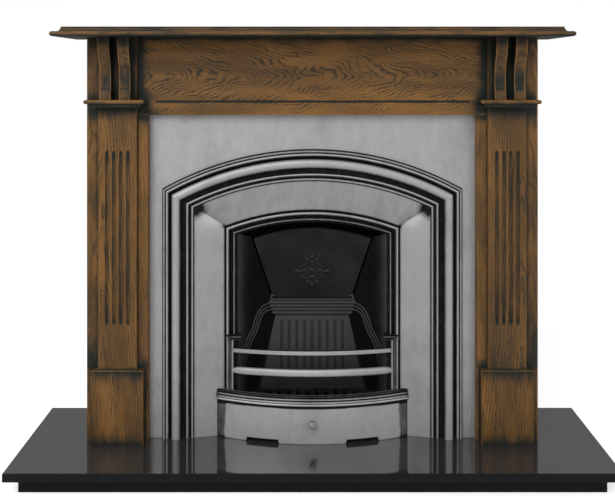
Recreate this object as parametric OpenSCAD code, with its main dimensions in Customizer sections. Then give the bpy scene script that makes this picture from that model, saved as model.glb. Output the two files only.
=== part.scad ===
// Arched cast iron fireplace insert in a carved oak surround on a polished granite hearth.
// Z is up and the front faces -Y. The origin is under the middle of the hearth.
// Most pieces are drawn in the insert's own frame: X from the middle, depth y back from the
// face of the iron plate, and height z up from the top of the hearth.
// A moulding of the arch is placed by its distance in from the arch's outer line.

/* [Hearth] */
// Width of the hearth slab
hearth_w = 1580; // [1450:10:1800]
// Depth of the hearth slab, front to back
hearth_d = 381; // [371:1:460]
// Thickness of the slab
slab_t = 22; // [18:1:30]
// Height of the riser strips under the slab
riser_h = 41; // [25:1:80]
// Thickness of the riser strips
riser_t = 20; // [15:1:30]
// How far the slab stands out over the risers
riser_inset = 30; // [15:1:60]
// Chamfer along the top edge of the slab
slab_chamfer = 1.5; // [0.5:0.5:4]
// Depth of the hearth behind the wall line
behind_wall = 114; // [104:1:130]

/* [Mantel shelf] */
// Width of the shelf
shelf_w = 1372; // [1300:2:1500]
// Depth of the shelf from the wall to its nose
shelf_d = 221.5; // [190:0.5:260]
// Thickness of the shelf
shelf_t = 26.3; // [22:0.1:34]
// Thickness of the rounded nose along the shelf's bottom
shelf_nose_t = 13.5; // [9:0.5:16]
// How far the shelf's top edge is set in from its nose
shelf_set_in = 23; // [14:0.5:30]
// Height of the square fillet along the top edge
shelf_fillet_h = 4; // [2:0.5:6]

/* [Surround boards] */
// Width of the opening between the legs
opening_w = 908; // [890:1:940]
// Height of the opening under the header board
opening_h = 902.5; // [880:0.5:920]
// Width of each leg
leg_w = 168; // [160:1:190]
// Height of the header board
header_h = 212.2; // [190:0.1:240]
// Thickness of the front boards
board_t = 27; // [20:1:32]
// Depth from the face of the iron plate back to the wall
rebate_d = 74.5; // [60:0.5:80]
// Thickness of the boards down the sides of the legs
side_board_t = 22; // [16:1:28]
// Width and height of the battens behind the boards
batten_w = 22; // [18:1:26]
// Depth of the battens
batten_d = 45; // [30:1:55]
// Height of the groove's middle above the header's bottom edge
header_groove_z = 37.5; // [30:0.5:60]
// Width of the groove along the header
header_groove_w = 3.5; // [2:0.5:6]
// Length of the header's groove
header_groove_len = 866; // [700:2:880]
// Depth of the header's groove
header_groove_depth = 2; // [1:0.5:4]

/* [Leg trims] */
// Distance of the trims' middle line from the opening's edge
trim_from_opening = 81; // [78:0.5:84]
// Width of the pilaster
pilaster_w = 106; // [96:1:116]
// Thickness of the pilaster
pilaster_t = 12; // [9:0.5:18]
// Number of flutes in each pilaster
flute_count = 4; // [2:1:4]
// Distance between the flutes' middles
flute_pitch = 19.3; // [16:0.1:22]
// Width of a flute
flute_w = 9; // [5:0.5:12]
// Depth of a flute
flute_depth = 3.5; // [2:0.5:6]
// Height of the flutes' lower ends
flute_low = 326; // [260:1:400]
// Height of the flutes' upper ends
flute_high = 806; // [700:1:860]
// Height of the plinth block
plinth_h = 204; // [150:1:240]
// Width of the plinth block
plinth_w = 144.5; // [130:0.5:150]
// Thickness of the plinth block
plinth_t = 18; // [14:1:24]
// Eased edge round the plinth block's face
plinth_ease = 3; // [1:0.5:5]
// Width of the necking moulding over its nose
neck_w = 162; // [150:1:166]
// Height of the necking's bottom edge
neck_z = 922.6; // [905:0.1:940]
// Height of the necking's quarter-round
neck_ovolo_h = 12; // [8:0.5:16]
// Height of the necking's nose
neck_nose_h = 11.6; // [8:0.2:16]
// How far the necking's nose stands out of the leg board
neck_out = 56; // [50:1:66]
// How far the quarter-round's foot is set in from the nose
neck_set_in = 18; // [12:0.5:22]

/* [Corbels] */
// Width of a corbel
corbel_w = 30.6; // [22:0.2:36]
// Distance between the two corbels' middles
corbel_pitch = 53; // [44:0.5:60]
// How far a corbel's head stands out of the pilaster
corbel_head = 49.5; // [42:0.5:70]
// Height of the corbel's square head
corbel_head_h = 25; // [18:1:34]
// How far its waist stands out
corbel_waist = 24.5; // [20:0.5:27]
// How far its foot stands out
corbel_foot = 29; // [24:0.5:36]
// Height of the corbel's square foot
corbel_foot_h = 25; // [15:1:32]

/* [Iron plate and arch] */
// Width of the iron plate
plate_w = 965; // [945:1:972]
// Height of the iron plate
plate_h = 965; // [940:1:1000]
// Thickness of the iron plate
plate_t = 6; // [5:0.5:8]
// Width of the arch over its outer line
arch_w = 832; // [810:1:850]
// Height of the arch's outer line at its middle
arch_crown = 803; // [790:1:830]
// Radius of the arch's outer line
arch_r = 848; // [800:1:950]
// Depth of the casting behind the plate's face
casting_d = 28; // [26:0.5:34]
// How far the outer fillet stands out
outer_fillet_proud = 8; // [4:0.5:9]
// Width of the outer fillet
outer_fillet_w = 5.5; // [3:0.5:8]
// How far the quirk between the fillets stands out
quirk_proud = 4; // [1:0.5:6]
// How far the inner fillet stands out
inner_fillet_proud = 10; // [7:0.5:13]
// Width of the inner fillet
inner_fillet_w = 8.5; // [5:0.5:12]
// How far the roll stands out
roll_proud = 17; // [14:0.5:22]
// Width of the roll
roll_w = 28; // [26:0.5:32]
// Radius of the roll's shoulders
roll_r = 13; // [6:0.5:13]
// Width of the sunk cove inside the roll
cove_w = 13; // [9:0.5:17]
// Width of the bead inside the cove
bead_w = 7.5; // [5:0.5:10]
// How far that bead stands out
bead_proud = 7; // [4:0.5:10]
// Width of the splayed panel
splay_w = 86; // [80:1:92]
// Depth of the splayed panel's inner edge
splay_d = 15; // [11:0.5:16.5]
// Width of the bead round the fire opening
fire_bead_w = 8; // [6:0.5:10]
// Depth of that bead's face
fire_bead_d = 8; // [7:0.5:10]
// Height of the fixing holes above the hearth, lower pair
fixing_low = 140; // [100:5:300]
// Height of the upper pair of fixing holes
fixing_high = 840; // [700:5:900]
// Radius of the fixing holes
fixing_r = 4; // [3:0.5:5]

/* [Fire bars and brackets] */
// Width of a bracket's polished strip
strip_w = 18; // [16:0.5:20]
// Depth of the strip's face
strip_face = 7; // [6.5:0.25:8]
// Height of the bracket under its cap
bracket_h = 273; // [270:1:300]
// Thickness of the cap's two slips together
cap_h = 11; // [8:0.5:16]
// Height of the top bar's underside
top_bar_z = 234; // [230:1:240]
// Height of the top bar's section
top_bar_h = 12.5; // [10:0.5:15]
// Thickness of the top bar
top_bar_t = 6; // [5:0.5:6.5]
// Height of the lower bar's underside
low_bar_z = 173.5; // [165:0.5:180]
// Height of the lower bar's section
low_bar_h = 21; // [16:0.5:24]
// Thickness of the lower bar
low_bar_t = 14; // [10:0.5:16]
// How far the bars bow forward at their middle
bar_bow = 25; // [16:0.5:30]
// How far a bar lifts in its brackets
bar_lift = 20; // [12:1:20]

/* [Fireback] */
// Wall thickness of the fireback
wall_t = 7; // [6:0.5:9]
// Height of the fireback's cheeks at the front
cheek_h = 566; // [560:1:580]
// Half-width of the back at the foot of its fluted panel
back_half_low = 157; // [150:1:165]
// Half-width of the back at the top of its fluted panel
back_half_high = 108; // [104:1:114]
// Height of the fluted panel's foot
panel_low = 104.5; // [102:0.5:112]
// Height of the fluted panel's top
panel_high = 307; // [295:1:320]
// Height of the reeded cornice
cornice_h = 48; // [36:1:54]
// How far the cornice stands out of the back
cornice_out = 18; // [12:0.5:24]
// Number of flutes in the back panel
back_flutes = 9; // [5:2:9]
// Distance between those flutes' middles
back_flute_pitch = 22.4; // [20:0.1:23]
// Width of a back flute
back_flute_w = 8; // [5:0.5:10]
// Depth of a back flute
back_flute_depth = 2; // [1:0.5:3]
// How far the reeds stand out of the cheeks
reed_out = 3; // [1.5:0.5:4]

/* [Damper flap] */
// Thickness of the flap
flap_t = 6; // [5:0.5:8]
// Height from the flap's pins to its upper corners, along its slope
flap_side = 186; // [176:1:192]
// Height of the flap's crown over its upper corners
flap_rise = 33; // [20:1:36]
// Lean of the flap from upright, in degrees
flap_lean = 15.75; // [13:0.25:17]
// Gap between the flap's sides and the cheeks
flap_gap = 1.5; // [1:0.1:2.5]
// Radius of the flap's hinge pins
pin_r = 3; // [2.5:0.25:3.5]
// Width of the cast ornament
ornament_w = 100; // [80:1:120]

/* [Grate and ash pan] */
// Height of the grate's underside
grate_z = 98; // [94:0.5:98]
// Thickness of the grate
grate_t = 8; // [6:0.5:10]
// Number of slots in the grate
grate_slots = 10; // [6:2:10]
// Distance between the slots' middles
grate_pitch = 26.9; // [24:0.1:28]
// Width of a slot
grate_slot_w = 11; // [8:0.5:14]
// Width of the ash pan
pan_w = 270; // [220:2:276]
// Depth of the ash pan, front to back
pan_d = 60; // [50:1:62]
// Height of the ash pan
pan_h = 66; // [40:1:72]
// Sheet thickness of the ash pan
pan_t = 1.5; // [1:0.1:2.5]

/* [Ash pan cover] */
// Width of the cover between its ends
cover_w = 534; // [520:1:545]
// How far the cover stands out of the plate's face at its middle
cover_out = 40.4; // [38:0.2:50]
// Height of the cover's plain apron
cover_apron_h = 105; // [90:1:110]
// Height of the reeded moulding over it
cover_mould_h = 28; // [20:1:34]
// How far the moulding stands out of the apron
cover_mould_out = 7; // [6:0.5:12]
// Thickness of the apron
cover_t = 5.5; // [4:0.5:5.5]
// Distance of each air notch's middle from the cover's middle
notch_x = 138; // [120:1:160]
// Length of an air notch along the hearth
notch_w = 93.6; // [70:0.2:110]
// Height of an air notch
notch_h = 10.3; // [6:0.1:14]
// Radius of the knob
knob_r = 10.5; // [8:0.5:13]
// Height of the knob's middle
knob_z = 57; // [35:1:70]

/* [Smoke hood] */
// Depth of the hood's back wall behind the plate's face
hood_d = 180; // [172:1:184]
// Height of the hood's top
hood_z = 660; // [640:1:700]
// Wall thickness of the hood
hood_t = 6; // [5:0.5:8]
// Inside radius of the flue spigot
flue_r = 62.5; // [50:0.5:63]
// Height of the flue spigot over the hood
spigot_h = 40; // [25:1:60]
// Wall thickness of the flue spigot
spigot_t = 5; // [3:0.5:6]

/* [Hidden] */

oak = [0.40, 0.27, 0.15];
granite = [0.10, 0.10, 0.11];
polished_iron = [0.62, 0.62, 0.62];
black_iron = [0.16, 0.16, 0.16];
steel = [0.70, 0.70, 0.72];

ROUND = 180;
SMALL_ROUND = 48;
CUT = 1;

hearth_h = slab_t + riser_h;
wall_y = hearth_d / 2 - behind_wall;
face_y = wall_y - rebate_d;

leg_h = opening_h + header_h;
leg_outer = opening_w / 2 + leg_w;
trim_x = opening_w / 2 + trim_from_opening;
header_half = trim_x - pilaster_w / 2;
board_face = -board_t;
pilaster_face = board_face - pilaster_t;
neck_top = neck_z + neck_ovolo_h + neck_nose_h;
batten_x = plate_w / 2 + 3.5;
header_batten_h = 45;

screw_r = 2.4;
screw_head_r = 4.5;
screw_head_h = 3;
screw_bite = 12;
thread_clear = 0.05;
screw_places = [-0.8, -0.3, 0.3, 0.8];

wall_plate_w = 44;
wall_plate_h = 24;
wall_plate_t = 2;
wall_plate_hole_r = 2.75;
wall_plate_low = 250;
wall_plate_high = 950;
wall_plate_overlap = 16;
plate_hole_x = leg_outer - side_board_t - 12;
plate_screw_x = leg_outer - side_board_t + wall_plate_overlap / 2;

arch_half = arch_w / 2;
arch_z = arch_crown - arch_r;

// Sunk and raised strips between the named mouldings, and the radii of their edges.
quirk_w = 3;
roll_groove_w = 6.5;
roll_groove_sunk = 2;
cove_sunk = 1;
bead_gap_w = 6;
thin_bead_w = 6;
thin_bead_proud = 3;
splay_rim_proud = 1;
splay_groove_w = 4.5;
splay_groove_sunk = 4;
fire_groove_w = 11;
fire_groove_floor = 6;
inner_bead_w = 5;
inner_bead_floor = 14;
lip_w = 6.5;
lip_floor = 5;
fillet_edge_r = 1;
thin_edge_r = 1.5;
bead_edge_r = 2.4;
fire_bead_edge_r = 2.8;

// Bands of the arch from its outer line inwards:
// width, level of the face (negative stands out), edge radius, level at the inner edge.
BANDS = [
    [outer_fillet_w, -outer_fillet_proud, fillet_edge_r, -outer_fillet_proud],
    [quirk_w, -quirk_proud, 0, -quirk_proud],
    [inner_fillet_w, -inner_fillet_proud, thin_edge_r, -inner_fillet_proud],
    [roll_groove_w, roll_groove_sunk, 0, roll_groove_sunk],
    [roll_w, -roll_proud, roll_r, -roll_proud],
    [cove_w, cove_sunk, 0, cove_sunk],
    [bead_w, -bead_proud, bead_edge_r, -bead_proud],
    [bead_gap_w, 0, 0, 0],
    [thin_bead_w, -thin_bead_proud, thin_edge_r, -thin_bead_proud],
    [splay_w, -splay_rim_proud, 0, splay_d],
    [splay_groove_w, splay_d + splay_groove_sunk, 0, splay_d + splay_groove_sunk],
    [fire_bead_w, fire_bead_d, fire_bead_edge_r, fire_bead_d],
    [fire_groove_w, casting_d - fire_groove_floor, 0, casting_d - fire_groove_floor],
    [inner_bead_w, casting_d - inner_bead_floor, thin_edge_r, casting_d - inner_bead_floor],
    [lip_w, casting_d - lip_floor, 0, casting_d - lip_floor],
    [CUT, casting_d + CUT, 0, casting_d + CUT]
];
OPENING_BAND = len(BANDS) - 1;
SPLAY_BAND = 9;
ROLL_BAND = 4;

// Distance of a band's outer edge from the arch's outer line.
function band_d(i) = i <= 0 ? 0 : band_d(i - 1) + BANDS[i - 1][0];

fire_in = band_d(OPENING_BAND);
fire_half = arch_half - fire_in;
splay_in = band_d(SPLAY_BAND);
front_limit = -roll_proud - 10;

strip_in = fire_half + inner_bead_w + lip_w - 0.5;
strip_out = strip_in + strip_w;
pocket_d = casting_d - fire_groove_floor;
pocket_clear = 0.3;
cap_out = 1;
cap_in = 23;
cap_proud = 2;
lower_slip_in = 18;
lower_slip_share = 0.45;
cap_block_in = 16;
cap_block_h = 26;
foot_in = 26;
foot_h = 10;
foot_set_back = 2;
slot_depth = 9;
tongue_t = 6;
tongue_y = strip_face + 3;
slot_clear = 0.5;
bracket_bolt_x = strip_in + strip_w / 2;
bracket_bolt_z = [60, 150];
bolt_r = 3;
bolt_head_r = 5.5;
bolt_head_h = 4;
bolt_bite = 10;
flange_t = 6;
flange_half = fire_half + 51;
fireback_bolt_x = fire_half + 40;
fireback_bolt_z = cheek_h - 86;
fireback_bolt_bite = 8;
bolt_hole_clear = 0.3;
flange_bolts = [
    [fireback_bolt_x, fireback_bolt_z],
    [bracket_bolt_x, bracket_bolt_z[0]],
    [bracket_bolt_x, bracket_bolt_z[1]]
];

cheek_slope = 1.056;
cheek_wall_x = wall_t * sqrt(1 + cheek_slope * cheek_slope);
// Half-width between the cheeks' inner faces at a depth, and the depth at a half-width.
function cheek_x(y) = fire_half - cheek_slope * (y - casting_d);
function cheek_y(x) = casting_d + (fire_half - x) / cheek_slope;

panel_low_y = cheek_y(back_half_low);
panel_high_y = cheek_y(back_half_high);
panel_lean = atan2(panel_high_y - panel_low_y, panel_high - panel_low);
back_y = panel_high_y + wall_t + 1;
cornice_top = panel_high + cornice_h;
cornice_face_y = panel_high_y - cornice_out;

pin_clear = 0.05;
pin_y = cornice_face_y + 6.5 + flap_t / 2;
pin_z = cornice_top + 5 + pin_r;
pin_in_flap = 8;
lug_w = 8;
lug_r = pin_r + 3.5;
// Half-width of the flap at a height up its slope from the pins.
function flap_edge(v) = cheek_x(pin_y - v * sin(flap_lean)) - flap_gap;
flap_foot_half = flap_edge(0);
flap_corner_half = flap_edge(flap_side);
flap_r = (flap_corner_half * flap_corner_half + flap_rise * flap_rise) / (2 * flap_rise);
lug_x = flap_foot_half + 1;
ornament_v = 82;

ledge_w = 12;
ledge_top = grate_z;
grate_side_gap = 5;
grate_back = panel_low_y - 3;
grate_front = -12;
grate_half = fire_half - 6;
grate_bow = casting_d - 6 - grate_front;
grate_r = (grate_half * grate_half + grate_bow * grate_bow) / (2 * grate_bow);

pan_back = panel_low_y - 7;

cover_gap = 0.5;
// Depth of the splayed panel's face at a half-width.
function splay_y(x) = -splay_rim_proud
    + (splay_d + splay_rim_proud) * (arch_half - x - splay_in) / splay_w;
cover_half = cover_w / 2;
cover_end_y = splay_y(cover_half) - cover_gap;
cover_sag = cover_out + cover_end_y;
cover_r = (cover_half * cover_half + cover_sag * cover_sag) / (2 * cover_sag);
cover_axis_y = cover_r - cover_out;
cover_angle = asin(cover_half / cover_r);
cover_h = cover_apron_h + cover_mould_h;
cover_ribs = 4;
cover_tip = 1.5;
cover_rib_steps = [1, 0, 3, 6];
notch_slope = 3.3;

bar_half = strip_in - 0.5;
bar_r = (bar_half * bar_half + bar_bow * bar_bow) / (2 * bar_bow);
bar_end_y = tongue_y + tongue_t / 2;
bar_axis_y = bar_end_y - bar_bow + bar_r;
bar_angle = asin(bar_half / bar_r);
tongue_len = slot_depth - 1;
low_tongue_h = 12;
low_tongue_z = low_bar_z + (low_bar_h - low_tongue_h) / 2;

hood_wider = 9;
hood_half = fire_half + hood_wider;
hood_floor_up = 33;
hood_floor = panel_high + hood_floor_up;
hood_gap = 0.3;
hood_ear_w = 24;
hood_ear_gap = 6;
hood_bolt_in = 15;
hood_bolt_x = hood_half + hood_t + hood_ear_w / 2;
hood_bolt_z = [cheek_h + hood_ear_gap + 2 * hood_bolt_in, hood_z - hood_bolt_in];
spigot_lip_w = 3;
spigot_lip_t = 3;
flue_y = casting_d + flue_r + spigot_t + spigot_lip_w + 0.5;

// Outline points of a quarter circle from angle a0 to a1 about c.
function arc_points(c, r, a0, a1, n) =
    [for (i = [0:n]) let (a = a0 + (a1 - a0) * i / n) [c[0] + r * cos(a), c[1] + r * sin(a)]];
function flip_x(points) = [for (i = [len(points) - 1:-1:0]) [-points[i][0], points[i][1]]];

// A smooth curve through the points, with n steps in each span.
function at(p, i) = p[max(0, min(len(p) - 1, i))];
function spline(p, n) = concat(
    [for (i = [0:len(p) - 2]) for (k = [0:n - 1]) let (t = k / n)
        0.5 * (2 * p[i] + t * (at(p, i + 1) - at(p, i - 1))
        + t * t * (2 * at(p, i - 1) - 5 * p[i] + 4 * at(p, i + 1) - at(p, i + 2))
        + t * t * t * (3 * p[i] - at(p, i - 1) - 3 * at(p, i + 1) + at(p, i + 2)))],
    [p[len(p) - 1]]);
function side_step(a, b, d) = let (v = b - a, l = norm(v)) [-v[1] / l * d, v[0] / l * d];
// The curve moved sideways by d.
function beside(p, d) = [for (i = [0:len(p) - 1])
    p[i] + side_step(at(p, i - 1), at(p, i + 1), d)];
function reversed(p) = [for (i = [len(p) - 1:-1:0]) p[i]];

module in_insert() translate([0, face_y, hearth_h]) children();

module left_hand() mirror([1, 0, 0]) children();

// A box from one corner to the other.
module block(a, b) translate(a) cube(b - a);

// A plate in the XZ plane from depth y0 back to y1.
module upright(y0, y1) translate([0, y1, 0]) rotate([90, 0, 0]) linear_extrude(y1 - y0) children();

// A plate in the YZ plane from x0 to x1, its outline given as depth and height.
module sideways(x0, x1) translate([x0, 0, 0]) rotate([90, 0, 90]) linear_extrude(x1 - x0) children();

// A round bar along Y from depth y0 back to y1.
module bar_y(r, x, z, y0, y1) translate([x, y1, z]) rotate([90, 0, 0])
    cylinder(r = r, h = y1 - y0, $fn = SMALL_ROUND);

// A bolt along Y with its shank from depth y0 back to y1 and its hexagon head behind that.
module hex_bolt(x, z, y0, y1) {
    bar_y(bolt_r, x, z, y0, y1);
    translate([x, y1 + bolt_head_h, z]) rotate([90, 0, 0])
        cylinder(r = bolt_head_r, h = bolt_head_h, $fn = 6);
}

// A slot outline of width w from height z0 to z1.
module slot_outline(w, z0, z1) {
    translate([-w / 2, z0 + w / 2]) square([w, z1 - z0 - w]);
    for (z = [z0 + w / 2, z1 - w / 2]) translate([0, z]) circle(r = w / 2, $fn = SMALL_ROUND);
}

// A slab moulded along its front and both ends. The edge is a list of
// how far it is set in and its height, from the bottom to the top.
module moulded_slab(half, y0, y1, edge) {
    side = [for (p = edge) [half - p[0], p[1]]];
    front = [for (p = edge) [y0 + p[0], p[1]]];
    top = edge[len(edge) - 1][1];
    intersection() {
        sideways(-half, half) polygon(concat(front, [[y1, top], [y1, edge[0][1]]]));
        upright(y0, y1) polygon(concat(side, flip_x(side)));
    }
}

/* ---- Hearth ---- */

module hearth_slab() color(granite) moulded_slab(hearth_w / 2, -hearth_d / 2, hearth_d / 2,
    [[0, riser_h], [0, hearth_h - slab_chamfer], [slab_chamfer, hearth_h]]);

module hearth_front_riser() color(granite) block(
    [-hearth_w / 2 + riser_inset, -hearth_d / 2 + riser_inset, 0],
    [hearth_w / 2 - riser_inset, -hearth_d / 2 + riser_inset + riser_t, riser_h]);

module hearth_side_risers() color(granite) for (side = [0, 1]) mirror([side, 0, 0]) block(
    [hearth_w / 2 - riser_inset - riser_t, -hearth_d / 2 + riser_inset + riser_t, 0],
    [hearth_w / 2 - riser_inset, hearth_d / 2 - riser_t, riser_h]);

module hearth_back_riser() color(granite) block(
    [-hearth_w / 2 + riser_inset, hearth_d / 2 - riser_t, 0],
    [hearth_w / 2 - riser_inset, hearth_d / 2, riser_h]);

/* ---- Oak surround ---- */

module mantel_shelf() color(oak) {
    nose_r = shelf_nose_t / 2;
    cove_r = shelf_t - shelf_nose_t - shelf_fillet_h;
    edge = concat(
        arc_points([nose_r, leg_h + nose_r], nose_r, 270, 90, 8),
        arc_points([shelf_set_in - cove_r - 1, leg_h + shelf_nose_t + cove_r], cove_r, -90, 0, 4),
        [[shelf_set_in, leg_h + shelf_t - shelf_fillet_h], [shelf_set_in, leg_h + shelf_t]]);
    in_insert() difference() {
        moulded_slab(shelf_w / 2, rebate_d - shelf_d, rebate_d, edge);
        for (place = screw_places)
            translate([place * header_half, batten_w / 2, leg_h - CUT])
                cylinder(r = screw_r + thread_clear, h = screw_bite + CUT, $fn = SMALL_ROUND);
    }
}

module header_board() color(oak) in_insert() difference() {
    block([-header_half, board_face, opening_h], [header_half, 0, leg_h]);
    upright(board_face - CUT, board_face + header_groove_depth)
        translate([0, opening_h + header_groove_z]) rotate(90)
            slot_outline(header_groove_w, -header_groove_len / 2, header_groove_len / 2);
}

module header_batten() color(oak) in_insert() difference() {
    block([-leg_outer + side_board_t, 0, leg_h - header_batten_h],
        [leg_outer - side_board_t, batten_w, leg_h]);
    for (place = screw_places) translate([place * header_half, batten_w / 2, leg_h - header_batten_h - CUT])
        cylinder(r = screw_r + 0.2, h = header_batten_h + 2 * CUT, $fn = SMALL_ROUND);
}

module shelf_screws() color(steel) in_insert() for (place = screw_places)
    translate([place * header_half, batten_w / 2, leg_h - header_batten_h]) {
        cylinder(r = screw_r, h = header_batten_h + screw_bite - 1, $fn = SMALL_ROUND);
        translate([0, 0, -screw_head_h]) cylinder(r = screw_head_r, h = screw_head_h, $fn = SMALL_ROUND);
    }

module leg_board() color(oak) in_insert() upright(board_face, 0) polygon([
    [opening_w / 2, 0], [leg_outer, 0], [leg_outer, leg_h],
    [header_half, leg_h], [header_half, opening_h], [opening_w / 2, opening_h]]);

// Heights of the wall plates on each leg.
wall_plate_z = [wall_plate_low, wall_plate_high];

module leg_side() color(oak) in_insert() difference() {
    block([leg_outer - side_board_t, 0, 0], [leg_outer, rebate_d, leg_h]);
    for (z = wall_plate_z) {
        block([leg_outer - side_board_t - CUT, rebate_d - wall_plate_t, z - wall_plate_h / 2],
            [leg_outer - side_board_t + wall_plate_overlap, rebate_d + CUT, z + wall_plate_h / 2]);
        bar_y(screw_r + thread_clear, plate_screw_x, z, rebate_d - wall_plate_t - screw_bite, rebate_d);
    }
}

module leg_batten() color(oak) in_insert()
    block([batten_x, 0, 0], [batten_x + batten_w, batten_d, leg_h - header_batten_h]);

module pilaster() color(oak) in_insert() difference() {
    block([trim_x - pilaster_w / 2, pilaster_face, plinth_h], [trim_x + pilaster_w / 2, board_face, leg_h]);
    for (i = [0:flute_count - 1])
        translate([trim_x + (i - (flute_count - 1) / 2) * flute_pitch, 0, 0])
            upright(pilaster_face - CUT, pilaster_face + flute_depth)
                slot_outline(flute_w, flute_low, flute_high);
}

module plinth_block() color(oak) in_insert() translate([trim_x, 0, 0])
    moulded_slab(plinth_w / 2, board_face - plinth_t, board_face,
        [[plinth_ease, 0], [0, plinth_ease], [0, plinth_h - plinth_ease], [plinth_ease, plinth_h]]);

module necking() color(oak) in_insert() difference() {
    nose_r = neck_nose_h / 2;
    ovolo = [for (i = [0:6]) let (a = 90 * i / 6)
        [neck_set_in - (neck_set_in - nose_r) * sin(a), neck_z + neck_ovolo_h * (1 - cos(a))]];
    nose = arc_points([nose_r, neck_z + neck_ovolo_h + nose_r], nose_r, 250, 90, 8);
    translate([trim_x, 0, 0])
        moulded_slab(neck_w / 2, board_face - neck_out, board_face, concat(ovolo, nose));
    block([trim_x - pilaster_w / 2, pilaster_face, neck_z - CUT],
        [trim_x + pilaster_w / 2, board_face + CUT, neck_top + CUT]);
}

// Outline of a corbel: how far it stands out, and the height, from its foot to its head.
corbel_h = leg_h - neck_top;
corbel_curve = spline([
    [corbel_foot - 3, corbel_foot_h], [corbel_waist + 1, corbel_foot_h + 17], [corbel_waist, corbel_h * 0.3],
    [corbel_waist + 2, corbel_h * 0.45], [corbel_waist + 9, corbel_h * 0.6],
    [corbel_head - 5.5, corbel_h * 0.74], [corbel_head - 2, corbel_h - corbel_head_h]], 4);

module corbel(side) color(oak) in_insert() {
    outline = concat([[0, 0], [corbel_foot, 0], [corbel_foot, corbel_foot_h]], corbel_curve,
        [[corbel_head, corbel_h - corbel_head_h], [corbel_head, corbel_h], [0, corbel_h]]);
    middle = trim_x + side * corbel_pitch / 2;
    sideways(middle - corbel_w / 2, middle + corbel_w / 2)
        polygon([for (p = outline) [pilaster_face - p[0], neck_top + p[1]]]);
}

// The children at each wall plate's height, on both sides.
module at_wall_plates() for (side = [0, 1], z = wall_plate_z)
    mirror([side, 0, 0]) translate([0, 0, z]) children();

module wall_plates() color(steel) in_insert() at_wall_plates() difference() {
    plate_x = leg_outer - side_board_t + wall_plate_overlap;
    block([plate_x - wall_plate_w, rebate_d - wall_plate_t, -wall_plate_h / 2],
        [plate_x, rebate_d, wall_plate_h / 2]);
    bar_y(wall_plate_hole_r, plate_hole_x, 0, rebate_d - wall_plate_t - CUT, rebate_d + CUT);
    bar_y(screw_r + 0.2, plate_screw_x, 0, rebate_d - wall_plate_t - CUT, rebate_d + CUT);
}

module wall_plate_screws() color(steel) in_insert() at_wall_plates() {
    bar_y(screw_r, plate_screw_x, 0, rebate_d - wall_plate_t - screw_bite + 1, rebate_d);
    bar_y(screw_head_r, plate_screw_x, 0, rebate_d, rebate_d + 1.5);
}

/* ---- Iron insert ---- */

// The arch's outline at a distance in from its outer line.
module arch_outline(d) intersection() {
    translate([-(arch_half - d), 0]) square([2 * (arch_half - d), arch_crown + 20]);
    translate([0, arch_z]) circle(r = arch_r - d, $fn = ROUND);
}

module arch_ring(d0, d1, y0, y1) upright(y0, y1) difference() {
    arch_outline(d0);
    arch_outline(d1);
}

// Everything inside an edge that runs round the arch. The edge is a list of
// distances in from the outer line and depths, carried up both legs and round the arc.
module arch_tier(edge, foot) {
    leg = [for (p = edge) [arch_half - p[0], p[1]]];
    arc = [for (p = edge) [arch_r - p[0], p[1]]];
    last = edge[len(edge) - 1][1];
    intersection() {
        translate([0, 0, foot]) linear_extrude(arch_crown + 20 - foot) polygon(concat(leg, flip_x(leg)));
        translate([0, 0, arch_z]) rotate([-90, 0, 0]) rotate_extrude($fn = ROUND)
            polygon(concat(arc, [[0, last], [0, edge[0][1]]]));
    }
}

// A band that stands forward of the one outside it.
module rise(i) {
    r = BANDS[i][2];
    level = BANDS[i][1];
    root = (i > SPLAY_BAND ? casting_d : plate_t) - 2;
    arch_tier(concat([[band_d(i), root]],
        r > 0 ? arc_points([band_d(i) + r, level + r], r, 180, 270, 5) : [[band_d(i), level]]), 0);
}

// The cut down to a band that lies behind the one outside it.
module fall(i) {
    r = BANDS[i - 1][2];
    from = BANDS[i - 1][3];
    arch_tier(concat([[band_d(i) - r, front_limit]],
        r > 0 ? arc_points([band_d(i) - r, from + r], r, 270, 360, 5) : [],
        [[band_d(i), BANDS[i][1]]],
        BANDS[i][3] != BANDS[i][1] ? [[band_d(i + 1), BANDS[i][3]]] : []), -CUT);
}

module casting_up_to(i) {
    if (i < 0) {
        block([-plate_w / 2, 0, 0], [plate_w / 2, plate_t, plate_h]);
        upright(plate_t - 2, casting_d) arch_outline(splay_in - 4);
    } else if (i == 0 || BANDS[i][1] < BANDS[i - 1][3]) {
        casting_up_to(i - 1);
        rise(i);
    } else difference() {
        casting_up_to(i - 1);
        fall(i);
    }
}

fixing_x = plate_w / 2 - 9;

module front_casting() color(polished_iron) in_insert() difference() {
    casting_up_to(OPENING_BAND);
    arch_ring(band_d(ROLL_BAND) + 6, band_d(ROLL_BAND + 1) - 6, -roll_proud + 8, plate_t + CUT);
    arch_ring(splay_in + 3, splay_in + splay_w / 2, casting_d - 10, casting_d + CUT);
    for (side = [0, 1]) mirror([side, 0, 0]) {
        block([fire_half - 2, front_limit, -CUT], [strip_out + pocket_clear, pocket_d, bracket_h]);
        block([fire_half - 2, front_limit, bracket_h - pocket_clear],
            [strip_out + cap_out + pocket_clear, pocket_d, bracket_h + cap_h + pocket_clear]);
        bar_y(bolt_r + thread_clear, fireback_bolt_x, fireback_bolt_z,
            casting_d - fireback_bolt_bite, casting_d + CUT);
        for (z = hood_bolt_z)
            bar_y(bolt_r + thread_clear, hood_bolt_x, z, casting_d - fireback_bolt_bite, casting_d + CUT);
        for (z = bracket_bolt_z)
            bar_y(bolt_r + bolt_hole_clear, bracket_bolt_x, z, pocket_d - CUT, casting_d + CUT);
        for (z = [fixing_low, fixing_high]) bar_y(fixing_r, fixing_x, z, -CUT, plate_t + CUT);
    }
}

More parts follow.
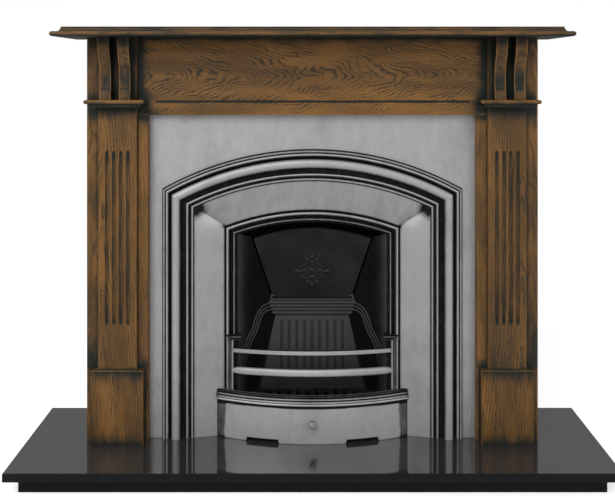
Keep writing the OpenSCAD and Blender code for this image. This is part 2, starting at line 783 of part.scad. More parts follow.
// The strip, its cap of two slips, the dark block under the cap, and the foot under the grate.
module bracket() color(polished_iron) in_insert() difference() {
    slip_z = bracket_h + cap_h * lower_slip_share;
    foot_y = strip_face + foot_set_back;
    union() {
        block([strip_in, strip_face, 0], [strip_out, pocket_d, bracket_h]);
        block([strip_in - lower_slip_in, 0, bracket_h], [strip_out - cap_out, pocket_d, slip_z]);
        block([strip_in - cap_in, -cap_proud, slip_z],
            [strip_out + cap_out, pocket_d, bracket_h + cap_h]);
        block([strip_in - cap_block_in, tongue_y + tongue_t + 1, bracket_h - cap_block_h],
            [strip_in + CUT, pocket_d, bracket_h + CUT]);
        block([strip_in - foot_in, foot_y, grate_z - foot_h], [strip_in + CUT, pocket_d, grate_z]);
        block([strip_in - foot_in, foot_y, grate_z - foot_h], [fire_half - 2, casting_d - 1, grate_z]);
    }
    for (tongue = [[top_bar_z, top_bar_h], [low_tongue_z, low_tongue_h]])
        block([strip_in - CUT, tongue_y - slot_clear, tongue[0]],
            [strip_in + slot_depth, tongue_y + tongue_t + slot_clear, tongue[0] + tongue[1] + bar_lift + 2]);
    for (z = bracket_bolt_z)
        bar_y(bolt_r + thread_clear, bracket_bolt_x, z, pocket_d - bolt_bite, pocket_d + CUT);
}

module bracket_bolts() color(steel) in_insert() for (side = [0, 1], z = bracket_bolt_z) mirror([side, 0, 0])
    hex_bolt(bracket_bolt_x, z, pocket_d - bolt_bite + 1, casting_d + flange_t);

module fireback_bolts() color(steel) in_insert() for (side = [0, 1]) mirror([side, 0, 0])
    hex_bolt(fireback_bolt_x, fireback_bolt_z, casting_d - fireback_bolt_bite + 1, casting_d + flange_t);

// A bowed bar with its section given as offsets from its middle line and heights,
// tapered at its ends, and a tongue at each end.
module bowed_bar(section, z0, h, taper, tongue_z, tongue_h) {
    intersection() {
        translate([0, bar_axis_y, 0]) rotate([0, 0, -90 - bar_angle])
            rotate_extrude(angle = 2 * bar_angle, $fn = ROUND)
                polygon([for (p = section) [bar_r + p[0], p[1]]]);
        upright(bar_end_y - bar_bow - 20, bar_end_y + 20) polygon([
            [-bar_half, z0 + taper], [-bar_half + 30, z0], [bar_half - 30, z0], [bar_half, z0 + taper],
            [bar_half, z0 + h - taper], [bar_half - 30, z0 + h], [-bar_half + 30, z0 + h],
            [-bar_half, z0 + h - taper]]);
    }
    for (side = [0, 1]) mirror([side, 0, 0])
        block([bar_half - 3, tongue_y, tongue_z],
            [strip_in + tongue_len, tongue_y + tongue_t, tongue_z + tongue_h]);
}

module top_bar() color(polished_iron) in_insert() {
    t = top_bar_t / 2;
    ease = 1;
    bowed_bar([
        [-t, top_bar_z], [t - ease, top_bar_z], [t, top_bar_z + ease],
        [t, top_bar_z + top_bar_h - ease], [t - ease, top_bar_z + top_bar_h], [-t, top_bar_z + top_bar_h]],
        top_bar_z - CUT, top_bar_h + 2 * CUT, 0, top_bar_z, top_bar_h);
}

module lower_bar() color(polished_iron) in_insert() bowed_bar(
    [for (i = [0:19]) let (a = 18 * i + 9)
        [low_bar_t / 2 * sign(cos(a)) * pow(abs(cos(a)), 0.75),
        low_bar_z + low_bar_h / 2 * (1 + sign(sin(a)) * pow(abs(sin(a)), 0.75))]],
    low_bar_z, low_bar_h, 4, low_tongue_z, low_tongue_h);

// The plan between the cheeks' inner faces from depth y0 to y1, widened by more.
module between_cheeks(y0, y1, more) {
    half = [[cheek_x(y0) + more, y0], [cheek_x(y1) + more, y1]];
    polygon(concat(half, flip_x(half)));
}

// Line of the damper flap's front face at a height.
function flap_front_y(z) = pin_y - flap_t / 2 / cos(flap_lean) - (z - pin_z) * tan(flap_lean);

// Middle line of the reeded band on a cheek: distance back along the cheek, and height.
reed_line = spline([
    [cheek_length(panel_high_y) - 2, panel_high + 27], [95, panel_high + 24], [73, panel_high + 1], [60, 278],
    [37, 248], [20, 206], [16, 160], [16, 112]], 4);
function cheek_length(y) = (y - casting_d) * sqrt(1 + cheek_slope * cheek_slope);
reed_w = 4;
reed_pitch = 10;

module cheek_reeds() {
    turn = atan2(1, -cheek_slope);
    translate([fire_half, casting_d, 0]) rotate([0, 0, turn]) rotate([90, 0, 0])
        translate([0, 0, -reed_out]) linear_extrude(reed_out + CUT)
            for (lane = [-1, 0, 1])
                polygon(concat(beside(reed_line, lane * reed_pitch - reed_w / 2),
                    reversed(beside(reed_line, lane * reed_pitch + reed_w / 2))));
}

module cheek() {
    shoulder_z = cheek_h - 19;
    intersection() {
        linear_extrude(cheek_h) polygon([
            [fire_half, casting_d], [cheek_x(back_y), back_y],
            [cheek_x(back_y) + cheek_wall_x, back_y], [fire_half + cheek_wall_x, casting_d]]);
        sideways(0, plate_w / 2) polygon([
            [casting_d, 0], [back_y, 0], [back_y, cornice_top],
            [flap_front_y(cornice_top) - 0.5, cornice_top],
            [flap_front_y(shoulder_z) - 0.5, shoulder_z], [casting_d, cheek_h]]);
    }
}

module cornice_outline() {
    reed_h = (cornice_h - 4) / 4;
    lean_out = cornice_out - 6;
    polygon(concat(
        [[back_y, panel_high]],
        [[panel_high_y - 2, panel_high]],
        [for (i = [0:3]) each arc_points(
            [panel_high_y - 4 - lean_out * (i + 0.5) / 4, panel_high + reed_h * (i + 0.5)],
            reed_h / 2, 270, 90, 5)],
        [[cornice_face_y, cornice_top - 4], [cornice_face_y, cornice_top - 2],
        [cornice_face_y + 3, cornice_top], [back_y, cornice_top]]));
}

module fireback() color(black_iron) in_insert() difference() {
    union() {
        for (side = [0, 1]) mirror([side, 0, 0]) {
            cheek();
            cheek_reeds();
            block([fire_half, casting_d, 0], [flange_half, casting_d + flange_t, cheek_h]);
            translate([lug_x, pin_y, pin_z]) rotate([0, 90, 0])
                cylinder(r = lug_r, h = lug_w, $fn = SMALL_ROUND);
            block([lug_x, pin_y - lug_r, cornice_top - 2], [lug_x + lug_w, pin_y + lug_r, pin_z]);
            intersection() {
                block([0, casting_d + flange_t, ledge_top - 10], [fire_half, grate_back - 2, ledge_top]);
                linear_extrude(ledge_top) polygon([
                    [cheek_x(casting_d) - ledge_w, casting_d], [cheek_x(back_y) - ledge_w, back_y],
                    [cheek_x(back_y) + 3, back_y], [cheek_x(casting_d) + 3, casting_d]]);
            }
        }
        intersection() {
            linear_extrude(cornice_top) between_cheeks(casting_d, back_y, 3);
            sideways(-fire_half, fire_half) {
                polygon([[panel_low_y, 0], [panel_low_y, panel_low], [panel_high_y, panel_high + 2],
                    [back_y, panel_high + 2], [panel_low_y + wall_t + 1, panel_low - 2],
                    [panel_low_y + wall_t + 1, 0]]);
                cornice_outline();
            }
        }
    }
    translate([0, panel_low_y, panel_low]) rotate([-panel_lean, 0, 0])
        for (i = [0:back_flutes - 1]) translate([(i - (back_flutes - 1) / 2) * back_flute_pitch, 0, 0])
            upright(-3, back_flute_depth) slot_outline(back_flute_w, 30, (panel_high - panel_low) - 12);
    for (side = [0, 1]) mirror([side, 0, 0]) {
        translate([lug_x - CUT, pin_y, pin_z]) rotate([0, 90, 0])
            cylinder(r = pin_r + pin_clear, h = lug_w + 2 * CUT, $fn = SMALL_ROUND);
        for (bolt = flange_bolts)
            bar_y(bolt_r + bolt_hole_clear, bolt[0], bolt[1], casting_d - CUT, casting_d + flange_t + CUT);
    }
}

// The flap's own frame: across, back from its middle plane, and up its slope from the pins.
module in_flap() in_insert() translate([0, pin_y, pin_z]) rotate([flap_lean, 0, 0]) children();

// Pointed petal of a length and width, lying along +Y from the origin.
module petal(length, width) {
    r = (length * length + width * width) / (4 * width);
    intersection() {
        translate([r - width / 2, length / 2]) circle(r = r, $fn = SMALL_ROUND);
        translate([width / 2 - r, length / 2]) circle(r = r, $fn = SMALL_ROUND);
    }
}

module ornament() {
    unit = ornament_w / 10;
    upright(-flap_t / 2 - 2.5, -flap_t / 2 + CUT) translate([0, ornament_v]) {
        difference() {
            circle(r = 1.1 * unit, $fn = SMALL_ROUND);
            circle(r = 0.6 * unit, $fn = SMALL_ROUND);
        }
        circle(r = 0.35 * unit, $fn = SMALL_ROUND);
        for (a = [0, 180]) rotate(a) translate([0, 1.3 * unit]) petal(3.2 * unit, 1.3 * unit);
        for (a = [90, 270]) rotate(a) translate([0, 1.3 * unit]) petal(3.7 * unit, 1.3 * unit);
        for (a = [35, 145, 215, 325]) rotate(a) translate([0, 1.3 * unit]) petal(2 * unit, 0.9 * unit);
        for (a = [62, 118, 242, 298]) rotate(a) translate([0, 2.5 * unit])
            circle(r = 0.6 * unit, $fn = SMALL_ROUND);
    }
}

// The flap is narrower beside the lugs of its pins.
module damper_flap() color(black_iron) in_flap() difference() {
    over_lug = lug_r + 2;
    side = [
        [flap_foot_half, -pin_r - 2], [flap_foot_half, over_lug], [flap_edge(over_lug), over_lug],
        [flap_corner_half, flap_side], [flap_corner_half, flap_side + 2 * flap_rise]];
    union() {
        upright(-flap_t / 2, flap_t / 2) intersection() {
            polygon(concat(side, flip_x(side)));
            translate([0, flap_side + flap_rise - flap_r]) circle(r = flap_r, $fn = ROUND);
        }
        for (side = [0, 1]) mirror([side, 0, 0]) translate([flap_foot_half - pin_in_flap - 4, 0, 0])
            rotate([0, 90, 0]) cylinder(r = pin_r + 2, h = pin_in_flap + 4, $fn = SMALL_ROUND);
        ornament();
    }
    for (side = [0, 1]) mirror([side, 0, 0]) translate([flap_foot_half - pin_in_flap, 0, 0])
        rotate([0, 90, 0]) cylinder(r = pin_r + 2 * pin_clear, h = pin_in_flap + CUT, $fn = SMALL_ROUND);
}

module flap_pins() color(steel) in_insert() for (side = [0, 1]) mirror([side, 0, 0])
    translate([flap_foot_half - pin_in_flap, pin_y, pin_z]) rotate([0, 90, 0])
        cylinder(r = pin_r, h = pin_in_flap + lug_w + lug_x - flap_foot_half, $fn = SMALL_ROUND);

module bottom_grate() color(black_iron) in_insert() difference() {
    side = [
        [cheek_x(grate_back) - grate_side_gap, grate_back], [cheek_x(casting_d) - grate_side_gap, casting_d],
        [grate_half, casting_d], [grate_half, grate_front - CUT]];
    translate([0, 0, grate_z]) linear_extrude(grate_t) intersection() {
        polygon(concat(side, flip_x(side)));
        translate([0, grate_front + grate_r]) circle(r = grate_r, $fn = ROUND);
    }
    for (i = [0:grate_slots - 1]) translate([(i - (grate_slots - 1) / 2) * grate_pitch, 0, grate_z])
        block([-grate_slot_w / 2, 8, -CUT], [grate_slot_w / 2, grate_back - 6, grate_t + CUT]);
}

module ash_pan() color(black_iron) in_insert() difference() {
    block([-pan_w / 2, pan_back - pan_d, 0], [pan_w / 2, pan_back, pan_h]);
    block([-pan_w / 2 + pan_t, pan_back - pan_d + pan_t, pan_t],
        [pan_w / 2 - pan_t, pan_back - pan_t, pan_h + CUT]);
}

module ashpan_cover() color(polished_iron) in_insert() {
    rib_r = cover_mould_h / cover_ribs / 2;
    rib_x = cover_r + cover_mould_out - rib_r;
    section = concat(
        [[cover_r - cover_t, 0], [cover_r, 0], [cover_r, cover_apron_h]],
        [for (i = [0:cover_ribs - 1]) each arc_points(
            [rib_x - cover_rib_steps[i], cover_apron_h + (2 * i + 1) * rib_r], rib_r, 270, 450, 6)],
        [[cover_r - cover_t, cover_h]]);
    difference() {
        intersection() {
            translate([0, cover_axis_y, 0]) rotate([0, 0, -90 - cover_angle])
                rotate_extrude(angle = 2 * cover_angle, $fn = ROUND) polygon(section);
            block([-cover_half - cover_tip, -cover_out - 2 * cover_mould_out, 0],
                [cover_half + cover_tip, cover_end_y, cover_h]);
        }
        for (side = [-1, 1]) upright(-cover_out - CUT, casting_d) translate([side * notch_x, 0]) polygon([
            [-notch_w / 2, -CUT], [notch_w / 2, -CUT], [notch_w / 2, 0],
            [notch_w / 2 - notch_slope, notch_h], [notch_slope - notch_w / 2, notch_h], [-notch_w / 2, 0]]);
        bar_y(screw_r + 0.2, 0, knob_z, -cover_out - CUT, -cover_out + cover_t + 2);
    }
}

module cover_knob() color(polished_iron) in_insert() translate([0, -cover_out, knob_z]) rotate([90, 0, 0])
    difference() {
        rotate_extrude($fn = SMALL_ROUND) polygon(concat(
            [[0, 0], [knob_r * 0.65, 0], [knob_r * 0.5, 2], [knob_r * 0.5, 6]],
            [for (i = [0:8]) let (a = -60 + 150 * i / 8) [max(0, knob_r * cos(a)), 12 + 6 * sin(a)]]));
        translate([0, 0, -CUT]) cylinder(r = screw_r + thread_clear, h = 9 + CUT, $fn = SMALL_ROUND);
    }

// The screw's head is clear of the apron's hollow face at its rim.
module knob_screw() color(steel) in_insert() {
    head_y = -cover_out + cover_t + 0.05;
    bar_y(screw_r, 0, knob_z, -cover_out - 8, head_y);
    bar_y(screw_head_r, 0, knob_z, head_y, head_y + screw_head_h);
}

module smoke_hood() color(black_iron) in_insert() difference() {
    flange_back = casting_d + flange_t + hood_gap;
    union() {
        difference() {
            block([-hood_half - hood_t, casting_d, hood_floor], [hood_half + hood_t, hood_d, hood_z]);
            block([-hood_half, casting_d - CUT, hood_floor + hood_t],
                [hood_half, hood_d - hood_t, hood_z - hood_t]);
        }
        for (side = [0, 1]) mirror([side, 0, 0])
            block([hood_half + hood_t - CUT, casting_d, cheek_h + hood_ear_gap],
                [hood_half + hood_t + hood_ear_w, casting_d + flange_t, hood_z]);
    }
    translate([0, 0, hood_floor - CUT]) linear_extrude(hood_t + 2 * CUT) {
        between_cheeks(casting_d - CUT, back_y + hood_gap, cheek_wall_x + hood_gap);
        translate([-flange_half - hood_gap, 0]) square([2 * (flange_half + hood_gap), flange_back]);
    }
    translate([0, flue_y, hood_z - hood_t - CUT])
        cylinder(r = flue_r + spigot_t + hood_gap, h = hood_t + 2 * CUT, $fn = ROUND);
    for (side = [0, 1]) mirror([side, 0, 0])
        block([fire_half - 1, casting_d - CUT, hood_floor - CUT],
            [flange_half + hood_gap, flange_back, cheek_h + hood_gap]);
    for (side = [0, 1], z = hood_bolt_z) mirror([side, 0, 0])
        bar_y(bolt_r + bolt_hole_clear, hood_bolt_x, z, casting_d - CUT, casting_d + flange_t + CUT);
}

// The spigot drops into the hole in the hood's top and hangs there on its lip.
module flue_spigot() color(black_iron) in_insert() translate([0, flue_y, hood_z - hood_t]) difference() {
    union() {
        cylinder(r = flue_r + spigot_t, h = hood_t + spigot_h, $fn = ROUND);
        translate([0, 0, hood_t])
            cylinder(r = flue_r + spigot_t + spigot_lip_w, h = spigot_lip_t, $fn = ROUND);
    }
    translate([0, 0, -CUT]) cylinder(r = flue_r, h = hood_t + spigot_h + 2 * CUT, $fn = ROUND);
}

module hood_bolts() color(steel) in_insert() for (side = [0, 1], z = hood_bolt_z) mirror([side, 0, 0])
    hex_bolt(hood_bolt_x, z, casting_d - fireback_bolt_bite + 1, casting_d + flange_t);

hearth_slab();
hearth_front_riser();
hearth_side_risers();
hearth_back_riser();
mantel_shelf();
header_board();
header_batten();
shelf_screws();
left_hand() leg_board();  // leg_board_left
leg_board();  // leg_board_right
left_hand() leg_side();  // leg_side_left
leg_side();  // leg_side_right
left_hand() leg_batten();  // leg_batten_left
leg_batten();  // leg_batten_right
left_hand() pilaster();  // pilaster_left
pilaster();  // pilaster_right
left_hand() plinth_block();  // plinth_block_left
plinth_block();  // plinth_block_right
left_hand() necking();  // necking_left
necking();  // necking_right
left_hand() corbel(1);  // corbel_outer_left
left_hand() corbel(-1);  // corbel_inner_left
corbel(-1);  // corbel_inner_right
corbel(1);  // corbel_outer_right
wall_plates();
wall_plate_screws();
front_casting();
left_hand() bracket();  // bar_bracket_left
bracket();  // bar_bracket_right
bracket_bolts();
top_bar();
lower_bar();
fireback();
fireback_bolts();
smoke_hood();
flue_spigot();
hood_bolts();
damper_flap();
flap_pins();
bottom_grate();
ash_pan();
ashpan_cover();
cover_knob();
knob_screw();
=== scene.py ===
import bmesh
import bpy
import numpy as np
from bpy.props import FloatProperty, FloatVectorProperty, PointerProperty
from bpy.types import Operator, Panel, PropertyGroup
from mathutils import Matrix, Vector


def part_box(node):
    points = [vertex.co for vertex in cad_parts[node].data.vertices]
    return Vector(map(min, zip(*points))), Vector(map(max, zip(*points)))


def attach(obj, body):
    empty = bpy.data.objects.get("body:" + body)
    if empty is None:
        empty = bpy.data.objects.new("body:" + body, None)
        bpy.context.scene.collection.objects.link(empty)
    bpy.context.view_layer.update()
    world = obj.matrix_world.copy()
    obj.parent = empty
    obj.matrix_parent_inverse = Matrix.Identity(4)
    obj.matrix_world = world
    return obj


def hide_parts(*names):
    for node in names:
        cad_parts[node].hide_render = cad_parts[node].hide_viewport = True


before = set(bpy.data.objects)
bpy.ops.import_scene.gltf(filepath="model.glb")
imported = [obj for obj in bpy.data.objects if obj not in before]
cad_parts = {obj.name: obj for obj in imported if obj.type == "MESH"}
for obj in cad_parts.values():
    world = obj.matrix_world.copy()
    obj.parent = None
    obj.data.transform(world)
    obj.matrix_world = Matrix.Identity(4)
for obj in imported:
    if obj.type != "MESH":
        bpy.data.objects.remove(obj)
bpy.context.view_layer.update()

bl_info = {
    "name": "Arched Iron Fireplace",
    "version": (1, 0, 0),
    "blender": (4, 5, 0),
    "location": "3D View > Sidebar > Fireplace",
    "description": "Builds the looks of an arched cast iron fireplace in a carved oak surround",
    "category": "Add Mesh",
}

MM = 0.001
# Points of a piece that lie closer than this, in metres, are one point.
MERGE_WITHIN = 4e-6
# Origin of the maker's measures: the middle of the iron plate's face, at the hearth's top.
ORIGIN = np.array([0.0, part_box("leg_board_left")[1][1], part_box("hearth_slab")[1][2]]) / MM
SIDES = (("left", -1), ("right", 1))

# The arched moulding: half-width and radius of its outer line, and the height of the arc's centre.
ARCH_HALF, ARCH_R, ARCH_Z = 416.0, 848.0, -45.0
# Bands of the moulding from the outer line inwards:
# width, depth of the face, radius of its edges, depth at the inner edge, darkness of the face.
BANDS = (
    (5.5, -8, 1, -8, 0.35), (3, -4, 0, -4, 0.85), (8.5, -10, 1.5, -10, 0.0), (6.5, 2, 0, 2, 1.0),
    (28, -17, 13, -17, 0.0), (13, 1, 0, 1, 0.9), (7.5, -7, 2.4, -7, 0.0), (6, 0, 0, 0, 1.0),
    (6, -3, 1.5, -3, 0.3), (86, -1, 0, 15, 0.0), (4.5, 19, 0, 19, 1.0), (8, 8, 2.8, 8, 0.0),
    (11, 22, 0, 22, 1.0), (5, 14, 1.5, 14, 0.5), (6.5, 23, 0, 23, 1.0),
)
ROLL_BAND, SPLAY_BAND = 4, 9
# How dark the inner half of a bead is painted, as shade together with the blacking of the hollow
# beside it, by the number of its band.
BEAD_BLACKING_AND_SHADE = {2: 0.85, 6: 0.72, 11: 0.60}
# Distances in from the outer line where the splay starts and ends.
SPLAY_START = sum(band[0] for band in BANDS[:SPLAY_BAND])
SPLAY_END = SPLAY_START + BANDS[SPLAY_BAND][0]
# Depths of the moulding's back and the plate's, and how far in the one steps to the other.
CASTING_BACK, PLATE_BACK, BACK_STEP = 28.0, 6.0, 80.0
# The pocket beside the fire: its top, the depth of its floor, and how far in from the outer line.
POCKET_TOP, POCKET_FLOOR, POCKET_IN = 284.3, 22.0, 174.5
# The fire opening's half-width, and how far a cheek runs inward for its depth.
FIRE_HALF, CHEEK_SLOPE = 211.0, 1.056
# The cover's air notches: middle, half-width, run of their slanted ends, and height.
NOTCH_X, NOTCH_HALF, NOTCH_RUN, NOTCH_HIGH = 138.0, 46.8, 3.3, 10.3
# What each point of a skin carries for the finishes to read.
# The first mark darkens a point: the patina and blacking the real thing has in its hollows, and
# painted shade under, between and inside the parts. The second lightens it: real rubbing and polish,
# and painted highlights.
MARKS = ("recess", "wear", "heart", "board", "crease")


# ---- Settings ----

def length(name, about, value, low, high):
    """A size in the maker's millimetres."""
    return FloatProperty(
        name=name, description=about + ", in millimetres", default=value, min=low, max=high)


def colour(name, about, value):
    """A surface colour."""
    return FloatVectorProperty(
        name=name, description=about, default=value, subtype="COLOR", min=0, max=1, size=3)


class FIREPLACE_PG_sizes(PropertyGroup):
    edge_ease: length("Board edge", "Rounding of the boards' edges", 1.2, 0.4, 3.0)
    flute_width: length("Flute width", "Width of a pilaster's flutes", 9.0, 5.0, 12.0)
    flute_depth: length("Flute depth", "Depth of a pilaster's flutes", 3.5, 2.0, 6.0)
    groove_width: length("Groove width", "Width of the groove along the frieze", 4.4, 2.0, 6.0)
    groove_depth: length("Groove depth", "Depth of the groove along the frieze", 2.0, 1.0, 4.0)
    plinth_ease: length("Plinth edge", "Rounding round the face of a plinth block", 3.0, 1.0, 5.0)
    ornament_height: length("Ornament height", "How far the flap's ornament stands out", 2.5, 1.0, 2.5)
    ring_pitch: length("Growth rings", "Distance between the oak's growth rings", 8.0, 3.0, 20.0)


class FIREPLACE_PG_colours(PropertyGroup):
    oak_light: colour("Oak, light", "Lightest brown of the stained oak", (0.185, 0.088, 0.023))
    oak_dark: colour("Oak, dark", "Darkest brown of the stained oak", (0.090, 0.045, 0.014))
    oak_line: colour("Oak grain", "Dark line of a growth ring", (0.021, 0.019, 0.012))
    # The patina colour is laid both as the oak's real patina and as painted shade under and between
    # the parts.
    patina: colour("Patina", "Greenish black in the oak's corners", (0.011, 0.014, 0.011))
    # The rubbed colour is also laid as a painted highlight on the noses and lips of the oak mouldings.
    rubbed: colour("Rubbed edge", "Golden brown of the oak's rubbed edges", (0.250, 0.115, 0.030))
    iron: colour("Polished iron", "Polished cast iron", (0.30, 0.30, 0.30))
    iron_bright: colour("Bright iron", "Cast iron where it is polished most", (0.47, 0.47, 0.47))
    iron_black: colour("Black recess", "Hollows of the iron mouldings", (0.006, 0.006, 0.006))
    fire_black: colour("Fireback", "Blackened cast iron about the fire", (0.0075, 0.0075, 0.0075))
    granite: colour("Granite", "Black polished granite", (0.028, 0.028, 0.029))
    granite_edge: colour("Granite edge", "Sawn edge of the granite", (0.008, 0.008, 0.009))


# ---- Surfaces ----

def corners(node):
    """A CAD node's lowest and highest corner in the maker's measures: x right, y back from the
    iron plate's face, z above the hearth, in millimetres."""
    low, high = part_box(node)
    return np.array(low) / MM - ORIGIN, np.array(high) / MM - ORIGIN


def unit(value):
    """The value, held between 0 and 1."""
    return np.clip(value, 0, 1)


def most(*values):
    """The highest of several values at each point."""
    return np.maximum.reduce(np.broadcast_arrays(*values))


def least(*values):
    """The lowest of several values at each point."""
    return np.minimum.reduce(np.broadcast_arrays(*values))


def fade(distance, reach):
    """1 at a line, falling off past it as e to the minus distance / reach."""
    return np.exp(-np.clip(distance, 0, None) / reach)


def bell(distance, width):
    """1 at a line, falling off both ways as e to the minus (distance / width) squared."""
    return np.exp(-(distance / width) ** 2)


def lattice(rows, columns, round_rows=False, round_columns=False):
    """Four-sided faces of a grid of rows by columns points, closed round in a direction if asked."""
    i, j = np.meshgrid(
        np.arange(rows - (not round_rows)), np.arange(columns - (not round_columns)), indexing="ij")
    i2, j2 = (i + 1) % rows, (j + 1) % columns
    faces = [i * columns + j, i2 * columns + j, i2 * columns + j2, i * columns + j2]
    return np.stack(faces, axis=-1).reshape(-1, 4)


class Skin:
    """Points, faces and marks of one piece, gathered surface by surface and closed at the end."""

    def __init__(self, heart=0.0, board=0.0):
        self.points, self.marks, self.faces, self.finishes = [], [], [], []
        self.count = 0
        self.steady = (heart, board)

    def dots(self, points, recess=0.0, wear=0.0, crease=0.0):
        """Adds points with their marks and returns their numbers."""
        shape = points.shape[:-1]
        marks = [np.broadcast_to(m, shape).ravel() for m in (recess, wear, *self.steady, crease)]
        self.points.append(points.reshape(-1, 3))
        self.marks.append(np.stack(marks, axis=-1))
        numbers = self.count + np.arange(np.prod(shape)).reshape(shape)
        self.count += numbers.size
        return numbers

    def face(self, numbers):
        """One flat face with any number of corners."""
        self.faces.append(np.ravel(numbers).tolist())
        self.finishes.append(0)

    def quads(self, faces, finish=0):
        """Many four-sided faces."""
        self.faces += faces.tolist()
        self.finishes += [finish] * len(faces)

    def grid(self, points, round_rows=False, round_columns=True, caps=True, finish=0, **marks):
        """A grid of points. A flat face closes its first and last row if caps are asked for."""
        numbers = self.dots(points, **marks)
        self.quads(numbers.ravel()[lattice(*numbers.shape, round_rows, round_columns)], finish)
        for row in (0, -1) if caps else ():
            self.face(numbers[row])
        return numbers


def ruled(low, high, step, *extra, ease=0.0):
    """Grid lines about a step apart from low to high, with those of both rounded edges and any
    extra ones."""
    turn = ease * (1 - np.cos(np.radians([0, 22.5, 45, 67.5, 90])))
    even = np.linspace(low, high, max(2, int(round((high - low) / step)) + 1))
    lines = np.concatenate([even, low + turn, high - turn, *extra])
    return np.unique(np.round(lines[(lines >= low - 1e-6) & (lines <= high + 1e-6)], 2))


def eased(inward, radius):
    """How far a rounded edge falls back at a distance inward of it: r less the root of
    r^2 - (r - inward)^2."""
    left = np.clip(radius - inward, 0, radius)
    return radius - np.sqrt(radius**2 - left**2)


def hollow(across, half, depth):
    """Depth of a round-bottomed cut at a distance across from its middle: a circle's arc, half
    wide each way."""
    radius = (half**2 + depth**2) / (2 * depth)
    arc_depth = np.sqrt(np.clip(radius**2 - across**2, 0, None)) - (radius - depth)
    return np.where(across < half, arc_depth, 0)


def facing(x, depth, z):
    """Points of a surface that faces the front."""
    return np.stack(np.broadcast_arrays(x, depth, z), axis=-1)


def arc(centre, radius, start, end, count):
    """Points on a circle from one angle to another, in degrees."""
    turn = np.radians(np.linspace(start, end, count))
    return np.stack([centre[0] + radius * np.cos(turn), centre[1] + radius * np.sin(turn)], axis=-1)


def inset(loop, by):
    """A closed loop moved inward, each corner along the bisector of its two edges."""
    ahead = np.roll(loop, -1, axis=0) - loop
    ahead /= np.linalg.norm(ahead, axis=1, keepdims=True)
    both = ahead + np.roll(ahead, 1, axis=0)
    normal = np.stack([-both[:, 1], both[:, 0]], axis=1)
    area = np.sum(loop[:, 0] * np.roll(loop[:, 1], -1) - loop[:, 1] * np.roll(loop[:, 0], -1))
    reach = 2 / np.clip(np.sum(both**2, axis=1, keepdims=True), 0.8, None)
    return loop + np.sign(area) * by * normal * reach


def smooth_line(points, steps):
    """A curve through the points: the Catmull-Rom cubic of each span, worked out at even steps."""
    p = np.array(points, dtype=float)
    p = np.concatenate([p[:1], p, p[-1:]])
    t = (np.arange(steps) / steps)[None, :, None]
    a, b, c, d = (p[i : len(p) - 3 + i, None] for i in range(4))
    curve = 0.5 * (
        2 * b + t * (c - a) + t**2 * (2 * a - 5 * b + 4 * c - d) + t**3 * (3 * b - a - 3 * c + d))
    return np.concatenate([curve.reshape(-1, p.shape[1]), p[-1:]])


def box_skin(skin, low, high, ease=0.4, **marks):
    """A block with chamfered edges, as rectangles from the bottom to the top."""
    (x0, y0, z0), (x1, y1, z1) = low, high
    cut = np.array([ease, 0, 0, ease])
    left, right, front, back = x0 + cut, x1 - cut, y0 + cut, y1 - cut
    x, y = np.stack([left, right, right, left], axis=1), np.stack([front, front, back, back], axis=1)
    z = np.array([z0, z0 + ease, z1 - ease, z1])
    skin.grid(facing(x, y, z[:, None]), **marks)


def make_piece(node, skin, finishes, body="fireplace", crease=30.0):
    """Turns a skin into a closed mesh that stands for a CAD node and rides on a body. Points that
    coincide are merged, open rims are filled, and the faces are turned outward."""
    name = node + "_surface"
    points = (np.concatenate(skin.points) + ORIGIN) * MM
    marks = np.concatenate(skin.marks)
    used, numbers = np.unique(
        np.concatenate([np.array(face) for face in skin.faces]), return_inverse=True)
    ends = np.cumsum([len(face) for face in skin.faces])[:-1]
    mesh = bpy.data.meshes.new(name)
    mesh.from_pydata(points[used].tolist(), [], [face.tolist() for face in np.split(numbers, ends)])
    for column, mark in enumerate(MARKS):
        values = mesh.attributes.new(mark, "FLOAT", "POINT").data
        values.foreach_set("value", marks[used, column])
    mesh.polygons.foreach_set("material_index", skin.finishes)
    for finish in finishes:
        mesh.materials.append(bpy.data.materials[finish])
    shell = bmesh.new()
    shell.from_mesh(mesh)
    bmesh.ops.remove_doubles(shell, verts=shell.verts, dist=MERGE_WITHIN)
    bmesh.ops.holes_fill(shell, edges=shell.edges, sides=0)
    bmesh.ops.recalc_face_normals(shell, faces=shell.faces)
    shell.to_mesh(mesh)
    shell.free()
    mesh.shade_smooth()
    mesh.set_sharp_from_angle(angle=np.radians(crease))
    keep_mitres_sharp(mesh)
    piece = bpy.data.objects.new(name, mesh)
    bpy.context.scene.collection.objects.link(piece)
    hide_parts(node)
    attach(piece, body)


def keep_mitres_sharp(mesh):
    """Marks each edge sharp whose two ends are both on a mitre."""
    ends = np.zeros(2 * len(mesh.edges), dtype=np.int32)
    mesh.edges.foreach_get("vertices", ends)
    on_mitre = np.zeros(len(mesh.vertices))
    mesh.attributes["crease"].data.foreach_get("value", on_mitre)
    sharp = mesh.attributes.get("sharp_edge") or mesh.attributes.new("sharp_edge", "BOOLEAN", "EDGE")
    flags = np.zeros(len(mesh.edges), dtype=bool)
    sharp.data.foreach_get("value", flags)
    sharp.data.foreach_set("value", flags | (on_mitre[ends.reshape(-1, 2)] > 0.9).all(axis=1))


